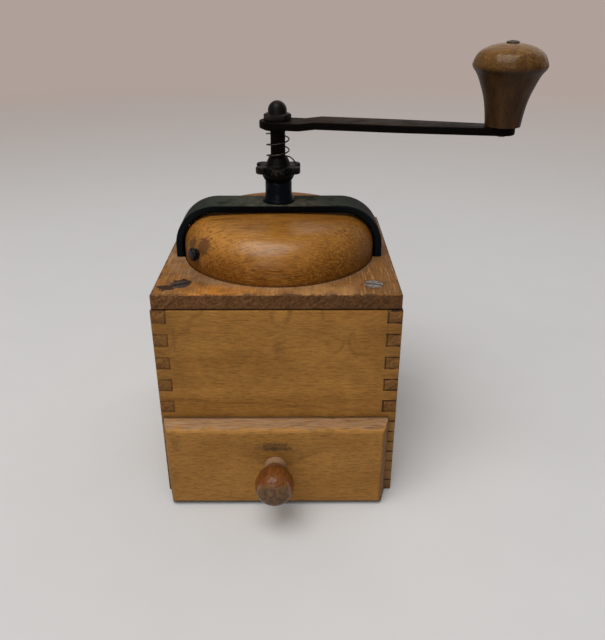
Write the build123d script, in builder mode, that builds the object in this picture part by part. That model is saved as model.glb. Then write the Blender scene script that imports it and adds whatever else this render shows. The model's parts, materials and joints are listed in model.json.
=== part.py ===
"""Wooden box coffee mill: finger-jointed case, turned dome under an iron bridge, crank and drawer.

Millimetres, +Z up, the drawer faces -Y. The origin is the middle of the case's footprint on the table.
"""

import math
import os

from build123d import *

os.makedirs("parts", exist_ok=True)

# Case
CASE_SIDE = 115.0
CASE_HEIGHT = 103.0
WALL = 7.0
FINGER_COUNT = 17
FRONT_FINGERS = 10
CASE_ROUND = 0.6
BASE_THICK = 6.0
BLOCK_SIDE = 14.0
BLOCK_LENGTH = 42.0
BLOCK_CHAMFER = 5.0

# Top plate and its screws
PLATE_INSET = 0.5
PLATE_THICK = 7.7
PLATE_ROUND = 0.9
MOUTH_LEDGE = 9.4
RECESS_DEPTH = 2.0
SCREW_INSET = 12.2
SCREW_HEAD_RADIUS = 4.25
SCREW_RADIUS = 1.9
SCREW_LENGTH = 25.0
SLOT_WIDTH = 1.1
SLOT_DEPTH = 1.2
SLOT_ANGLES = (28.0, 112.0, -20.0, 65.0)

# Dome
DOME_RADIUS = 48.4
DOME_HEIGHT = 24.5
DOME_CROWN = 2.6
DOME_CORNER = 15.5
DOME_WALL = 6.0
DOME_TOP_THICK = 7.2
DOME_HOLE_RADIUS = 4.4
DOME_FOOT_ROUND = 0.8
FILL_WIDTH = 40.0
FILL_HEIGHT = 14.0
FILL_SILL = 4.3
FILL_ROUND = 4.0
DOME_KNOB_ANGLE = 216.5
DOME_KNOB_RISE = 11.0
DOME_KNOB_SINK = 0.4
DOME_KNOB_RADIUS = 3.3
DOME_KNOB_REACH = 3.6
DOME_KNOB_NECK = 1.2
DOME_KNOB_NECK_RADIUS = 2.5
DOME_KNOB_ROUND = 1.1
DOME_KNOB_SHANK_RADIUS = 1.8
DOME_KNOB_SHANK = 4.5

# Tin wall behind the filling mouth
SHIELD_THICK = 0.6
SHIELD_BEND = 62.0
SHIELD_SPAN = 90.0
SHIELD_TAB = 8.0
SHIELD_TAB_ANGLE = 30.0
SHIELD_SCREW_RADIUS = 1.2
SHIELD_SCREW_HEAD_RADIUS = 2.2
SHIELD_SCREW_HEAD_HEIGHT = 1.2
SHIELD_SCREW_LENGTH = 3.6

# Bridge
STRAP_WIDTH = 19.0
STRAP_THICK = 3.5
STRAP_CORNER = 21.0
STRAP_ROUND = 0.8
FOOT_LENGTH = 15.0
FOOT_BEND = 4.0
FOOT_INNER_BEND = 0.5
BOSS_RADIUS = 6.6
BOSS_FLARE_RADIUS = 8.0
BOSS_FLARE_HEIGHT = 5.6
BOSS_LIP = 1.0
BOSS_HEIGHT = 10.5
BOSS_TENON_RADIUS = 6.0
BUSH_WALL = 1.4
FOOT_SCREW_INSET = 9.0
FOOT_SCREW_RADIUS = 2.0
FOOT_SCREW_HEAD_RADIUS = 3.8
FOOT_SCREW_HEAD_HEIGHT = 2.6

# Burr set
HOUSING_FLANGE = 4.0
HOUSING_RIM = 4.0
HOUSING_EAR_WIDTH = 18.0
HOUSING_EAR_MARGIN = 5.0
FUNNEL_DEPTH = 21.0
BURR_LENGTH = 20.0
BURR_SEAT_RADIUS = 18.0
HOUSING_WALL = 3.0
THROAT_RADIUS = 15.5
BURR_NECK_RADIUS = 11.4
BURR_MOUTH_RADIUS = 13.4
BURR_NECK_DEPTH = 9.0
BURR_GAP = 0.6
BURR_CONE_TOP_RADIUS = 5.8
OUTER_TEETH = 16
INNER_TEETH = 12
TOOTH_WIDTH = 1.3
TOOTH_DEPTH = 1.1
BURR_NUT_FLATS = 10.0
BURR_NUT_HEIGHT = 5.0
LUG_WIDTH = 10.0
LUG_THICK = 5.8
LUG_DROP = 8.0
LUG_OVERLAP = 8.0
BAR_THICK = 4.0
BAR_EYE_RADIUS = 7.5
BAR_SCREW_RADIUS = 1.5
BAR_SCREW_HEAD_RADIUS = 2.8
BAR_SCREW_HEAD_HEIGHT = 2.0
BAR_SCREW_GRIP = 6.0

# Spindle
SPINDLE_RADIUS = 3.6
JOURNAL_RADIUS = 3.0
SPINDLE_FOOT = 1.0
COLLAR_RADIUS = 5.2
COLLAR_HEIGHT = 2.0
SHOULDER_RADIUS = 7.0
SHOULDER_HEIGHT = 2.4
TENON_SIDE = 6.0
THREAD_END_RADIUS = 2.8
THREAD_END_LENGTH = 5.5

# Adjusting nut
NUT_HEIGHT = 11.7
NUT_FOOT_RADIUS = 6.8
NUT_HUB_RADIUS = 7.9
NUT_HUB_RISE = 2.0
NUT_TOP_RADIUS = 4.2
NUT_CONE_RADIUS = 6.4
LOBE_COUNT = 6
LOBE_TURN = 30.0
LOBE_REACH = 12.1
LOBE_RADIUS = 3.3
LOBE_RISE = 4.1
LOBE_THICK = 3.3
LOBE_ROUND = 0.9

# Lock spring
WIRE = 0.7
COIL_RADIUS = 5.45
COIL_PITCH = 5.2
COIL_QUARTERS = 9
COIL_START_ANGLE = 90.0
COIL_LIFT = 1.0
TAIL_LENGTH = 8.8
TAIL_DROP = 2.6

# Crank
NUT_TO_SHOULDER = 11.3
ARM_ANGLE = -12.5
ARM_REACH = 104.0
ARM_THICK = 3.4
HUB_RADIUS = 8.8
ARM_MID = 58.0
ARM_MID_HALF = 8.5
ARM_END_RADIUS = 5.8
KINK_START = 12.0
KINK_END = 20.0
KINK_RISE = 1.1
ARM_ROUND = 0.5
CAP_FLATS = 11.5
CAP_HEX_HEIGHT = 3.2
CAP_CHAMFER = 0.9
CAP_DOME_RADIUS = 4.55
CAP_HEIGHT = 9.1

# Crank knob and its pin
KNOB_HEIGHT = 34.3
KNOB_BASE_RADIUS = 7.8
KNOB_WAIST_RADIUS = 9.15
KNOB_WAIST_RISE = 9.5
KNOB_FLARE_RADIUS = 11.35
KNOB_FLARE_RISE = 16.5
KNOB_RIM_RADIUS = 15.9
KNOB_RIM_RISE = 26.0
KNOB_EDGE = 2.4
KNOB_EDGE_DEPTH = 0.8
KNOB_STEM_LEAN = 0.1
KNOB_EDGE_LEAN = 0.7
KNOB_SHOULDER_RADIUS = 12.9
KNOB_SHOULDER_RISE = 31.2
KNOB_TOP_FALL = 0.12
KNOB_TOP_RADIUS = 4.0
PIN_RADIUS = 2.4
PIN_HEAD_RADIUS = 2.9
PIN_HEAD_HEIGHT = 1.0
PIN_HEAD_EDGE = 0.35
PEEN_RADIUS = 3.6
PEEN_HEIGHT = 1.0

# Drawer
DRAWER_FRONT_THICK = 11.3
DRAWER_FRONT_INSET = 2.2
DRAWER_FRONT_SHIFT = -1.2
DRAWER_BEVEL = 3.2
DRAWER_FRONT_LIFT = 0.7
DRAWER_OVERLAP = 3.1
DRAWER_ROUND = 2.6
DRAWER_SIDE_THICK = 5.0
DRAWER_BACK_THICK = 6.0
DRAWER_BOTTOM_THICK = 3.0
DRAWER_GROOVE = 2.0
DRAWER_GROOVE_RISE = 2.5
DRAWER_DEPTH = 104.0
DRAWER_CLEAR = 0.4
DRAWER_HEADROOM = 1.0
PULL_OFFSET = -1.5
PULL_RISE = 23.8
PULL_LENGTH = 23.0
PULL_NECK_RADIUS = 5.4
PULL_WAIST_RADIUS = 4.9
PULL_RADIUS = 9.1
PULL_WAIST_RISE = 3.2
PULL_SWELL_RISE = 13.2
PULL_END_RADIUS = 5.6
PULL_END_DROP = 1.6
PULL_NECK_LEAN = -0.3
PULL_SCREW_RADIUS = 1.9
PULL_SCREW_HEAD_RADIUS = 3.8
PULL_SCREW_GRIP = 10.0

# Clearances
RUN_FIT = 0.05
PRESS_FIT = 0.02
SEAT_GAP = 0.2
TURN_GAP = 0.3
STRAP_GAP = 0.7
SHIELD_GAP = 0.4
SLIDE_GAP = 0.3

# Heights and places that follow from the sizes above
FINGER = CASE_HEIGHT / FINGER_COUNT
HALF = CASE_SIDE / 2
INNER_HALF = HALF - WALL
FRONT_HEIGHT = FRONT_FINGERS * FINGER
OPENING_TOP = CASE_HEIGHT - FRONT_HEIGHT
PLATE_TOP = CASE_HEIGHT + PLATE_THICK
PLATE_SIDE = CASE_SIDE - 2 * PLATE_INSET
SCREW_PLACE = PLATE_SIDE / 2 - SCREW_INSET
DOME_BASE = PLATE_TOP - RECESS_DEPTH
DOME_TOP = DOME_BASE + DOME_HEIGHT
DOME_INNER = DOME_RADIUS - DOME_WALL
MOUTH_RADIUS = DOME_INNER - MOUTH_LEDGE
STRAP_UNDER = DOME_TOP + STRAP_GAP
STRAP_TOP = STRAP_UNDER + STRAP_THICK
STRAP_INNER = DOME_RADIUS + TURN_GAP
STRAP_OUTER = STRAP_INNER + STRAP_THICK
FOOT_TOP = DOME_BASE - TURN_GAP
FOOT_BOTTOM = FOOT_TOP - STRAP_THICK
FOOT_END = STRAP_OUTER - FOOT_LENGTH
FOOT_SCREW_X = STRAP_OUTER - FOOT_SCREW_INSET
BORE_RADIUS = SPINDLE_RADIUS + RUN_FIT
BUSH_RADIUS = BORE_RADIUS + BUSH_WALL
BOSS_TOP = STRAP_TOP + BOSS_HEIGHT
NUT_BASE = BOSS_TOP + SEAT_GAP
NUT_TOP = NUT_BASE + NUT_HEIGHT
SHOULDER_BASE = NUT_TOP + NUT_TO_SHOULDER
HUB_BASE = SHOULDER_BASE + SHOULDER_HEIGHT
HUB_TOP = HUB_BASE + ARM_THICK
ARM_TOP = HUB_TOP + KINK_RISE
KNOB_X = ARM_REACH * math.cos(math.radians(ARM_ANGLE))
KNOB_Y = ARM_REACH * math.sin(math.radians(ARM_ANGLE))
KNOB_BASE = ARM_TOP + TURN_GAP
BURR_TOP = CASE_HEIGHT - FUNNEL_DEPTH
BURR_BOTTOM = BURR_TOP - BURR_LENGTH
HOUSING_RADIUS = BURR_SEAT_RADIUS + HOUSING_WALL
BAR_TOP = BURR_BOTTOM - LUG_DROP
BAR_BOTTOM = BAR_TOP - BAR_THICK
LUG_Y = BURR_SEAT_RADIUS + LUG_THICK / 2 + PRESS_FIT
DRAWER_HALF = INNER_HALF - DRAWER_CLEAR
DRAWER_FLOOR = BASE_THICK + SLIDE_GAP
DRAWER_TOP = OPENING_TOP - DRAWER_HEADROOM
DRAWER_FRONT_BACK = -HALF - SLIDE_GAP
DRAWER_FACE = DRAWER_FRONT_BACK - DRAWER_FRONT_THICK
DRAWER_END = DRAWER_FRONT_BACK + DRAWER_DEPTH
GROOVE_BOTTOM = DRAWER_FLOOR + DRAWER_GROOVE_RISE
PULL_Z = DRAWER_FRONT_LIFT + PULL_RISE


def finger_height(index):
    """Middle of a finger, counted from the top of the case."""
    return CASE_HEIGHT - (index + 0.5) * FINGER


def on_corner(edge):
    """True for an upright edge on an outer corner of the case."""
    middle = edge.center()
    return all(math.isclose(abs(place), HALF, abs_tol=0.01) for place in (middle.X, middle.Y))


def finger_notches(indices, x, y):
    """Cuts one joint's notches out of the part being built, at a corner of the case."""
    for index in indices:
        with Locations((x, y, finger_height(index))):
            Box(WALL, WALL, FINGER, mode=Mode.SUBTRACT)


CORNER = HALF - WALL / 2
FRONT_TABS = range(1, FRONT_FINGERS, 2)
FRONT_NOTCHES = range(0, FRONT_FINGERS, 2)
BACK_TABS = range(1, FINGER_COUNT, 2)
BACK_NOTCHES = range(0, FINGER_COUNT, 2)

# The front board ends above the drawer opening
with BuildPart() as front_panel:
    with Locations((0, -CORNER, CASE_HEIGHT - FRONT_HEIGHT / 2)):
        Box(CASE_SIDE, WALL, FRONT_HEIGHT)
    for side in (-1, 1):
        finger_notches(FRONT_NOTCHES, side * CORNER, -CORNER)
    fillet(front_panel.edges().filter_by(Axis.Z).filter_by(on_corner), CASE_ROUND)
front_panel.part.label = "front_panel"
export_step(front_panel.part, "parts/front_panel.step")

with BuildPart() as back_panel:
    with Locations((0, CORNER, CASE_HEIGHT / 2)):
        Box(CASE_SIDE, WALL, CASE_HEIGHT)
    for side in (-1, 1):
        finger_notches(BACK_NOTCHES, side * CORNER, CORNER)
    fillet(back_panel.edges().filter_by(Axis.Z).filter_by(on_corner), CASE_ROUND)
back_panel.part.label = "back_panel"
export_step(back_panel.part, "parts/back_panel.step")

with BuildPart() as left_side_panel:
    with Locations((-CORNER, 0, CASE_HEIGHT / 2)):
        Box(WALL, CASE_SIDE, CASE_HEIGHT)
    finger_notches(FRONT_TABS, -CORNER, -CORNER)
    finger_notches(BACK_TABS, -CORNER, CORNER)
    fillet(left_side_panel.edges().filter_by(Axis.Z).filter_by(on_corner), CASE_ROUND)
left_side_panel.part.label = "left_side_panel"
export_step(left_side_panel.part, "parts/left_side_panel.step")

with BuildPart() as right_side_panel:
    with Locations((CORNER, 0, CASE_HEIGHT / 2)):
        Box(WALL, CASE_SIDE, CASE_HEIGHT)
    finger_notches(FRONT_TABS, CORNER, -CORNER)
    finger_notches(BACK_TABS, CORNER, CORNER)
    fillet(right_side_panel.edges().filter_by(Axis.Z).filter_by(on_corner), CASE_ROUND)
right_side_panel.part.label = "right_side_panel"
export_step(right_side_panel.part, "parts/right_side_panel.step")

# The floor board lies between the sides and butts against the back
with BuildPart() as base_board:
    with Locations((0, -WALL / 2, BASE_THICK / 2)):
        Box(2 * INNER_HALF, CASE_SIDE - WALL, BASE_THICK)
base_board.part.label = "base_board"
export_step(base_board.part, "parts/base_board.step")

# Glue blocks in the upper corners, bored for the plate screws
BLOCK_PLACE = INNER_HALF - BLOCK_SIDE / 2
with BuildPart() as corner_blocks:
    with GridLocations(2 * BLOCK_PLACE, 2 * BLOCK_PLACE, 2, 2):
        with Locations((0, 0, CASE_HEIGHT - BLOCK_LENGTH / 2)):
            Box(BLOCK_SIDE, BLOCK_SIDE, BLOCK_LENGTH)
    upright = corner_blocks.edges().filter_by(Axis.Z)
    chamfer(upright.sort_by_distance((0, 0, CASE_HEIGHT - BLOCK_LENGTH / 2))[:4], BLOCK_CHAMFER)
    with Locations((0, 0, CASE_HEIGHT)):
        with GridLocations(2 * SCREW_PLACE, 2 * SCREW_PLACE, 2, 2):
            Hole(SCREW_RADIUS + PRESS_FIT, SCREW_LENGTH)
corner_blocks.part.label = "corner_blocks"
export_step(corner_blocks.part, "parts/corner_blocks.step")

# Top plate: hopper mouth, dome recess, let-in pockets for the bridge feet, screw holes
SHIELD_OUTER = DOME_INNER - SHIELD_GAP
SHIELD_INNER = SHIELD_OUTER - SHIELD_THICK
TAB_RADIUS = SHIELD_INNER - SHIELD_TAB / 2
TAB_PLACES = [(TAB_RADIUS * math.sin(math.radians(turn)), TAB_RADIUS * math.cos(math.radians(turn)))
              for turn in (-SHIELD_TAB_ANGLE, SHIELD_TAB_ANGLE)]
POCKET_LENGTH = FOOT_LENGTH + 2 * PRESS_FIT
with BuildPart() as top_plate:
    with Locations((0, 0, CASE_HEIGHT + PLATE_THICK / 2)):
        Box(PLATE_SIDE, PLATE_SIDE, PLATE_THICK)
    fillet(top_plate.edges().filter_by(Axis.Z), PLATE_ROUND)
    fillet(top_plate.faces().sort_by(Axis.Z)[-1].edges(), PLATE_ROUND)
    fillet(top_plate.faces().sort_by(Axis.Z)[0].edges(), PLATE_ROUND)
    with Locations((0, 0, PLATE_TOP)):
        Hole(MOUTH_RADIUS)
        with Locations((0, 0, -RECESS_DEPTH / 2)):
            Cylinder(DOME_RADIUS + TURN_GAP, RECESS_DEPTH, mode=Mode.SUBTRACT)
        with GridLocations(2 * SCREW_PLACE, 2 * SCREW_PLACE, 2, 2):
            CounterSinkHole(SCREW_RADIUS + PRESS_FIT, SCREW_HEAD_RADIUS + PRESS_FIT)
        with Locations((FOOT_SCREW_X, 0), (-FOOT_SCREW_X, 0)):
            Hole(FOOT_SCREW_RADIUS + RUN_FIT)
    for side in (-1, 1):
        with Locations((side * (STRAP_OUTER - FOOT_LENGTH / 2), 0, (FOOT_BOTTOM + PLATE_TOP) / 2)):
            Box(POCKET_LENGTH, STRAP_WIDTH + 2 * PRESS_FIT, PLATE_TOP - FOOT_BOTTOM, mode=Mode.SUBTRACT)
    with Locations((0, 0, DOME_BASE)):
        with Locations(*TAB_PLACES):
            Hole(SHIELD_SCREW_RADIUS + PRESS_FIT, SHIELD_SCREW_LENGTH)
top_plate.part.label = "top_plate"
export_step(top_plate.part, "parts/top_plate.step")

# Slotted countersunk wood screws, each slot turned its own way
SCREW_PLACES = [(x, y) for x in (-SCREW_PLACE, SCREW_PLACE) for y in (-SCREW_PLACE, SCREW_PLACE)]
with BuildPart() as plate_screws:
    for place, turn in zip(SCREW_PLACES, SLOT_ANGLES):
        with BuildSketch(Plane(origin=(*place, PLATE_TOP), x_dir=(1, 0, 0), z_dir=(0, -1, 0))):
            with BuildLine():
                Polyline((0, 0), (SCREW_HEAD_RADIUS, 0),
                         (SCREW_RADIUS, SCREW_RADIUS - SCREW_HEAD_RADIUS),
                         (SCREW_RADIUS, 2 * SCREW_RADIUS - SCREW_LENGTH), (0, -SCREW_LENGTH), close=True)
            make_face()
        revolve(axis=Axis((*place, 0), (0, 0, 1)))
        with Locations(Location((*place, PLATE_TOP), (0, 0, turn))):
            Box(3 * SCREW_HEAD_RADIUS, SLOT_WIDTH, 2 * SLOT_DEPTH, mode=Mode.SUBTRACT)
plate_screws.part.label = "plate_screws"
export_step(plate_screws.part, "parts/plate_screws.step")

# Bridge: one strap bent over the dome, its feet turned in under the dome's rim
with BuildPart() as bridge_strap:
    with BuildSketch(Plane.XZ) as strap_side:
        with BuildLine():
            Polyline((FOOT_END, FOOT_BOTTOM), (STRAP_OUTER, FOOT_BOTTOM), (STRAP_OUTER, STRAP_TOP),
                     (-STRAP_OUTER, STRAP_TOP), (-STRAP_OUTER, FOOT_BOTTOM), (-FOOT_END, FOOT_BOTTOM),
                     (-FOOT_END, FOOT_TOP), (-STRAP_INNER, FOOT_TOP), (-STRAP_INNER, STRAP_UNDER),
                     (STRAP_INNER, STRAP_UNDER), (STRAP_INNER, FOOT_TOP), (FOOT_END, FOOT_TOP), close=True)
        make_face()
        bends = (((STRAP_OUTER, STRAP_TOP), STRAP_CORNER),
                 ((STRAP_INNER, STRAP_UNDER), STRAP_CORNER - STRAP_THICK),
                 ((STRAP_OUTER, FOOT_BOTTOM), FOOT_BEND),
                 ((STRAP_INNER, FOOT_TOP), FOOT_INNER_BEND))
        for (x, z), radius in bends:
            for side in (-1, 1):
                fillet(strap_side.vertices().sort_by_distance((side * x, z, 0))[0], radius)
    extrude(amount=STRAP_WIDTH / 2, both=True)
    fillet(bridge_strap.faces().sort_by(Axis.Y)[0].edges(), STRAP_ROUND)
    fillet(bridge_strap.faces().sort_by(Axis.Y)[-1].edges(), STRAP_ROUND)
    with BuildSketch(Plane.XY.offset(STRAP_UNDER)):
        Circle(BOSS_TENON_RADIUS + PRESS_FIT)
    extrude(amount=STRAP_THICK, mode=Mode.SUBTRACT)
    with BuildSketch(Plane.XY.offset(FOOT_BOTTOM)):
        with Locations((FOOT_SCREW_X, 0), (-FOOT_SCREW_X, 0)):
            Circle(FOOT_SCREW_RADIUS + PRESS_FIT)
    extrude(amount=STRAP_THICK, mode=Mode.SUBTRACT)
bridge_strap.part.label = "bridge_strap"
export_step(bridge_strap.part, "parts/bridge_strap.step")

with BuildPart() as bridge_boss:
    with BuildSketch(Plane.XZ):
        with BuildLine():
            inside = BUSH_RADIUS + PRESS_FIT
            flare_top = (BOSS_RADIUS, STRAP_TOP + BOSS_FLARE_HEIGHT)
            flare_foot = (BOSS_FLARE_RADIUS, STRAP_TOP + BOSS_LIP)
            Polyline(flare_top, (BOSS_RADIUS, BOSS_TOP), (inside, BOSS_TOP), (inside, STRAP_UNDER),
                     (BOSS_TENON_RADIUS, STRAP_UNDER), (BOSS_TENON_RADIUS, STRAP_TOP),
                     (BOSS_FLARE_RADIUS, STRAP_TOP), flare_foot)
            TangentArc(flare_top, flare_foot, tangent=(0, -1))
        make_face()
    revolve(axis=Axis.Z)
    chamfer(bridge_boss.edges().group_by(Axis.Z)[-1].sort_by(SortBy.LENGTH)[-1], BOSS_LIP / 2)
bridge_boss.part.label = "bridge_boss"
export_step(bridge_boss.part, "parts/bridge_boss.step")

with BuildPart() as upper_bush:
    with BuildSketch(Plane.XY.offset(STRAP_UNDER)):
        Circle(BUSH_RADIUS)
        Circle(BORE_RADIUS, mode=Mode.SUBTRACT)
    extrude(amount=BOSS_TOP - STRAP_UNDER)
upper_bush.part.label = "upper_bush"
export_step(upper_bush.part, "parts/upper_bush.step")

# Screws from below clamp the burr housing, the plate and the bridge feet together
FLANGE_BOTTOM = CASE_HEIGHT - HOUSING_FLANGE
with BuildPart() as foot_screws:
    with BuildSketch(Plane.XY.offset(FLANGE_BOTTOM)):
        with Locations((FOOT_SCREW_X, 0), (-FOOT_SCREW_X, 0)):
            Circle(FOOT_SCREW_HEAD_RADIUS)
    extrude(amount=-FOOT_SCREW_HEAD_HEIGHT)
    with BuildSketch(Plane.XY.offset(FLANGE_BOTTOM - FOOT_SCREW_HEAD_HEIGHT)):
        with Locations((FOOT_SCREW_X, 0), (-FOOT_SCREW_X, 0)):
            Rectangle(SLOT_WIDTH, 2 * FOOT_SCREW_HEAD_RADIUS)
    extrude(amount=SLOT_DEPTH, mode=Mode.SUBTRACT)
    with BuildSketch(Plane.XY.offset(FLANGE_BOTTOM)):
        with Locations((FOOT_SCREW_X, 0), (-FOOT_SCREW_X, 0)):
            Circle(FOOT_SCREW_RADIUS)
    extrude(amount=FOOT_TOP - FLANGE_BOTTOM)
foot_screws.part.label = "foot_screws"
export_step(foot_screws.part, "parts/foot_screws.step")

# Cast housing under the plate: funnel, burr seat and two lugs for the cross bar
with BuildPart() as burr_housing:
    with BuildSketch(Plane.XY.offset(FLANGE_BOTTOM)):
        SlotOverall(2 * (FOOT_SCREW_X + HOUSING_EAR_MARGIN), HOUSING_EAR_WIDTH)
        Circle(MOUTH_RADIUS + HOUSING_RIM)
    extrude(amount=HOUSING_FLANGE)
    with BuildSketch(Plane.XZ):
        with BuildLine():
            Polyline((0, CASE_HEIGHT), (MOUTH_RADIUS + HOUSING_RIM, CASE_HEIGHT),
                     (MOUTH_RADIUS + HOUSING_RIM, FLANGE_BOTTOM), (HOUSING_RADIUS, BURR_TOP),
                     (HOUSING_RADIUS, BURR_BOTTOM), (0, BURR_BOTTOM), close=True)
        make_face()
    revolve(axis=Axis.Z)
    with Locations((0, LUG_Y, BURR_BOTTOM + (LUG_OVERLAP - LUG_DROP) / 2),
                   (0, -LUG_Y, BURR_BOTTOM + (LUG_OVERLAP - LUG_DROP) / 2)):
        Box(LUG_WIDTH, LUG_THICK, LUG_DROP + LUG_OVERLAP)
    with BuildSketch(Plane.XZ):
        with BuildLine():
            seat = BURR_SEAT_RADIUS + PRESS_FIT
            Polyline((0, CASE_HEIGHT), (MOUTH_RADIUS, CASE_HEIGHT), (THROAT_RADIUS, BURR_TOP + BURR_GAP),
                     (THROAT_RADIUS, BURR_TOP), (seat, BURR_TOP), (seat, BURR_BOTTOM - LUG_DROP),
                     (0, BURR_BOTTOM - LUG_DROP), close=True)
        make_face()
    revolve(axis=Axis.Z, mode=Mode.SUBTRACT)
    with Locations((FOOT_SCREW_X, 0, CASE_HEIGHT), (-FOOT_SCREW_X, 0, CASE_HEIGHT)):
        Hole(FOOT_SCREW_RADIUS + RUN_FIT, HOUSING_FLANGE)
    with BuildSketch(Plane.XY.offset(BAR_TOP)):
        with Locations((0, LUG_Y), (0, -LUG_Y)):
            Circle(BAR_SCREW_RADIUS + PRESS_FIT)
    extrude(amount=BAR_SCREW_GRIP, mode=Mode.SUBTRACT)
burr_housing.part.label = "burr_housing"
export_step(burr_housing.part, "parts/burr_housing.step")

# Toothed ring: a funnel above its neck, a widening grinding cone below
NECK_Z = BURR_TOP - BURR_NECK_DEPTH
with BuildPart() as outer_burr:
    with BuildSketch(Plane.XZ):
        with BuildLine():
            Polyline((THROAT_RADIUS, BURR_TOP), (BURR_SEAT_RADIUS, BURR_TOP),
                     (BURR_SEAT_RADIUS, BURR_BOTTOM), (BURR_MOUTH_RADIUS, BURR_BOTTOM),
                     (BURR_NECK_RADIUS, NECK_Z), close=True)
        make_face()
    revolve(axis=Axis.Z)
    with PolarLocations(BURR_MOUTH_RADIUS, OUTER_TEETH):
        with Locations((0, 0, (BURR_TOP + BURR_BOTTOM) / 2)):
            Box(2 * TOOTH_DEPTH, TOOTH_WIDTH, BURR_LENGTH, mode=Mode.SUBTRACT)
outer_burr.part.label = "outer_burr"
export_step(outer_burr.part, "parts/outer_burr.step")

# Toothed cone on the spindle
CONE_TOP = BURR_TOP + COLLAR_HEIGHT
CONE_SLOPE = math.degrees(math.atan2(BURR_NECK_RADIUS - BURR_CONE_TOP_RADIUS, CONE_TOP - NECK_Z))
with BuildPart() as inner_burr:
    with BuildSketch(Plane.XZ):
        with BuildLine():
            Polyline((BORE_RADIUS, CONE_TOP), (BURR_CONE_TOP_RADIUS, CONE_TOP),
                     (BURR_NECK_RADIUS - BURR_GAP, NECK_Z), (BURR_MOUTH_RADIUS - BURR_GAP, BURR_BOTTOM),
                     (BORE_RADIUS, BURR_BOTTOM), close=True)
        make_face()
    revolve(axis=Axis.Z)
    with PolarLocations((BURR_NECK_RADIUS + BURR_CONE_TOP_RADIUS) / 2, INNER_TEETH):
        with Locations(Location((0, 0, (CONE_TOP + NECK_Z) / 2), (0, -CONE_SLOPE, 0))):
            Box(2 * TOOTH_DEPTH, TOOTH_WIDTH, 2 * BURR_LENGTH, mode=Mode.SUBTRACT)
inner_burr.part.label = "inner_burr"
export_step(inner_burr.part, "parts/inner_burr.step")

with BuildPart() as burr_nut:
    with BuildSketch(Plane.XY.offset(BURR_BOTTOM - BURR_NUT_HEIGHT)):
        RegularPolygon(BURR_NUT_FLATS / 2, 6, major_radius=False)
        Circle(JOURNAL_RADIUS + PRESS_FIT, mode=Mode.SUBTRACT)
    extrude(amount=BURR_NUT_HEIGHT)
burr_nut.part.label = "burr_nut"
export_step(burr_nut.part, "parts/burr_nut.step")

# Cross bar with the lower bearing
with BuildPart() as lower_bar:
    with BuildSketch(Plane.XY.offset(BAR_BOTTOM)):
        Rectangle(LUG_WIDTH, 2 * LUG_Y + LUG_THICK)
        Circle(BAR_EYE_RADIUS)
        Circle(JOURNAL_RADIUS + RUN_FIT + BUSH_WALL + PRESS_FIT, mode=Mode.SUBTRACT)
        with Locations((0, LUG_Y), (0, -LUG_Y)):
            Circle(BAR_SCREW_RADIUS + RUN_FIT, mode=Mode.SUBTRACT)
    extrude(amount=BAR_THICK)
lower_bar.part.label = "lower_bar"
export_step(lower_bar.part, "parts/lower_bar.step")

with BuildPart() as lower_bush:
    with BuildSketch(Plane.XY.offset(BAR_BOTTOM)):
        Circle(JOURNAL_RADIUS + RUN_FIT + BUSH_WALL)
        Circle(JOURNAL_RADIUS + RUN_FIT, mode=Mode.SUBTRACT)
    extrude(amount=BAR_THICK)
lower_bush.part.label = "lower_bush"
export_step(lower_bush.part, "parts/lower_bush.step")

with BuildPart() as bar_screws:
    with BuildSketch(Plane.XY.offset(BAR_BOTTOM)):
        with Locations((0, LUG_Y), (0, -LUG_Y)):
            Circle(BAR_SCREW_HEAD_RADIUS)
    extrude(amount=-BAR_SCREW_HEAD_HEIGHT)
    with BuildSketch(Plane.XY.offset(BAR_BOTTOM)):
        with Locations((0, LUG_Y), (0, -LUG_Y)):
            Circle(BAR_SCREW_RADIUS)
    extrude(amount=BAR_THICK + BAR_SCREW_GRIP)
bar_screws.part.label = "bar_screws"
export_step(bar_screws.part, "parts/bar_screws.step")

# Tin wall that stands behind the dome's filling mouth while it is closed
with BuildPart() as hopper_shield:
    with BuildSketch(Plane.XZ.rotated((0, 0, 90 - SHIELD_SPAN / 2))):
        with BuildLine():
            outer_bend = DOME_CORNER - DOME_WALL - SHIELD_GAP
            inner_bend = outer_bend - SHIELD_THICK
            bend_x = SHIELD_OUTER - outer_bend
            bend_z = DOME_TOP - DOME_TOP_THICK - DOME_CORNER + DOME_WALL
            CenterArc((bend_x, bend_z), outer_bend, 0, SHIELD_BEND)
            CenterArc((bend_x, bend_z), inner_bend, 0, SHIELD_BEND)
            lip = (math.cos(math.radians(SHIELD_BEND)), math.sin(math.radians(SHIELD_BEND)))
            Line((bend_x + inner_bend * lip[0], bend_z + inner_bend * lip[1]),
                 (bend_x + outer_bend * lip[0], bend_z + outer_bend * lip[1]))
            Polyline((SHIELD_INNER, bend_z), (SHIELD_INNER, DOME_BASE), (SHIELD_OUTER, DOME_BASE),
                     (SHIELD_OUTER, bend_z))
        make_face()
    revolve(axis=Axis.Z, revolution_arc=SHIELD_SPAN)
    for place, turn in zip(TAB_PLACES, (SHIELD_TAB_ANGLE, -SHIELD_TAB_ANGLE)):
        with Locations(Location((*place, DOME_BASE + SHIELD_THICK / 2), (0, 0, turn))):
            Box(SHIELD_TAB, SHIELD_TAB + SHIELD_THICK, SHIELD_THICK)
    with BuildSketch(Plane.XY.offset(DOME_BASE)):
        with Locations(*TAB_PLACES):
            Circle(SHIELD_SCREW_RADIUS + PRESS_FIT)
    extrude(amount=SHIELD_THICK, mode=Mode.SUBTRACT)
hopper_shield.part.label = "hopper_shield"
export_step(hopper_shield.part, "parts/hopper_shield.step")

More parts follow.
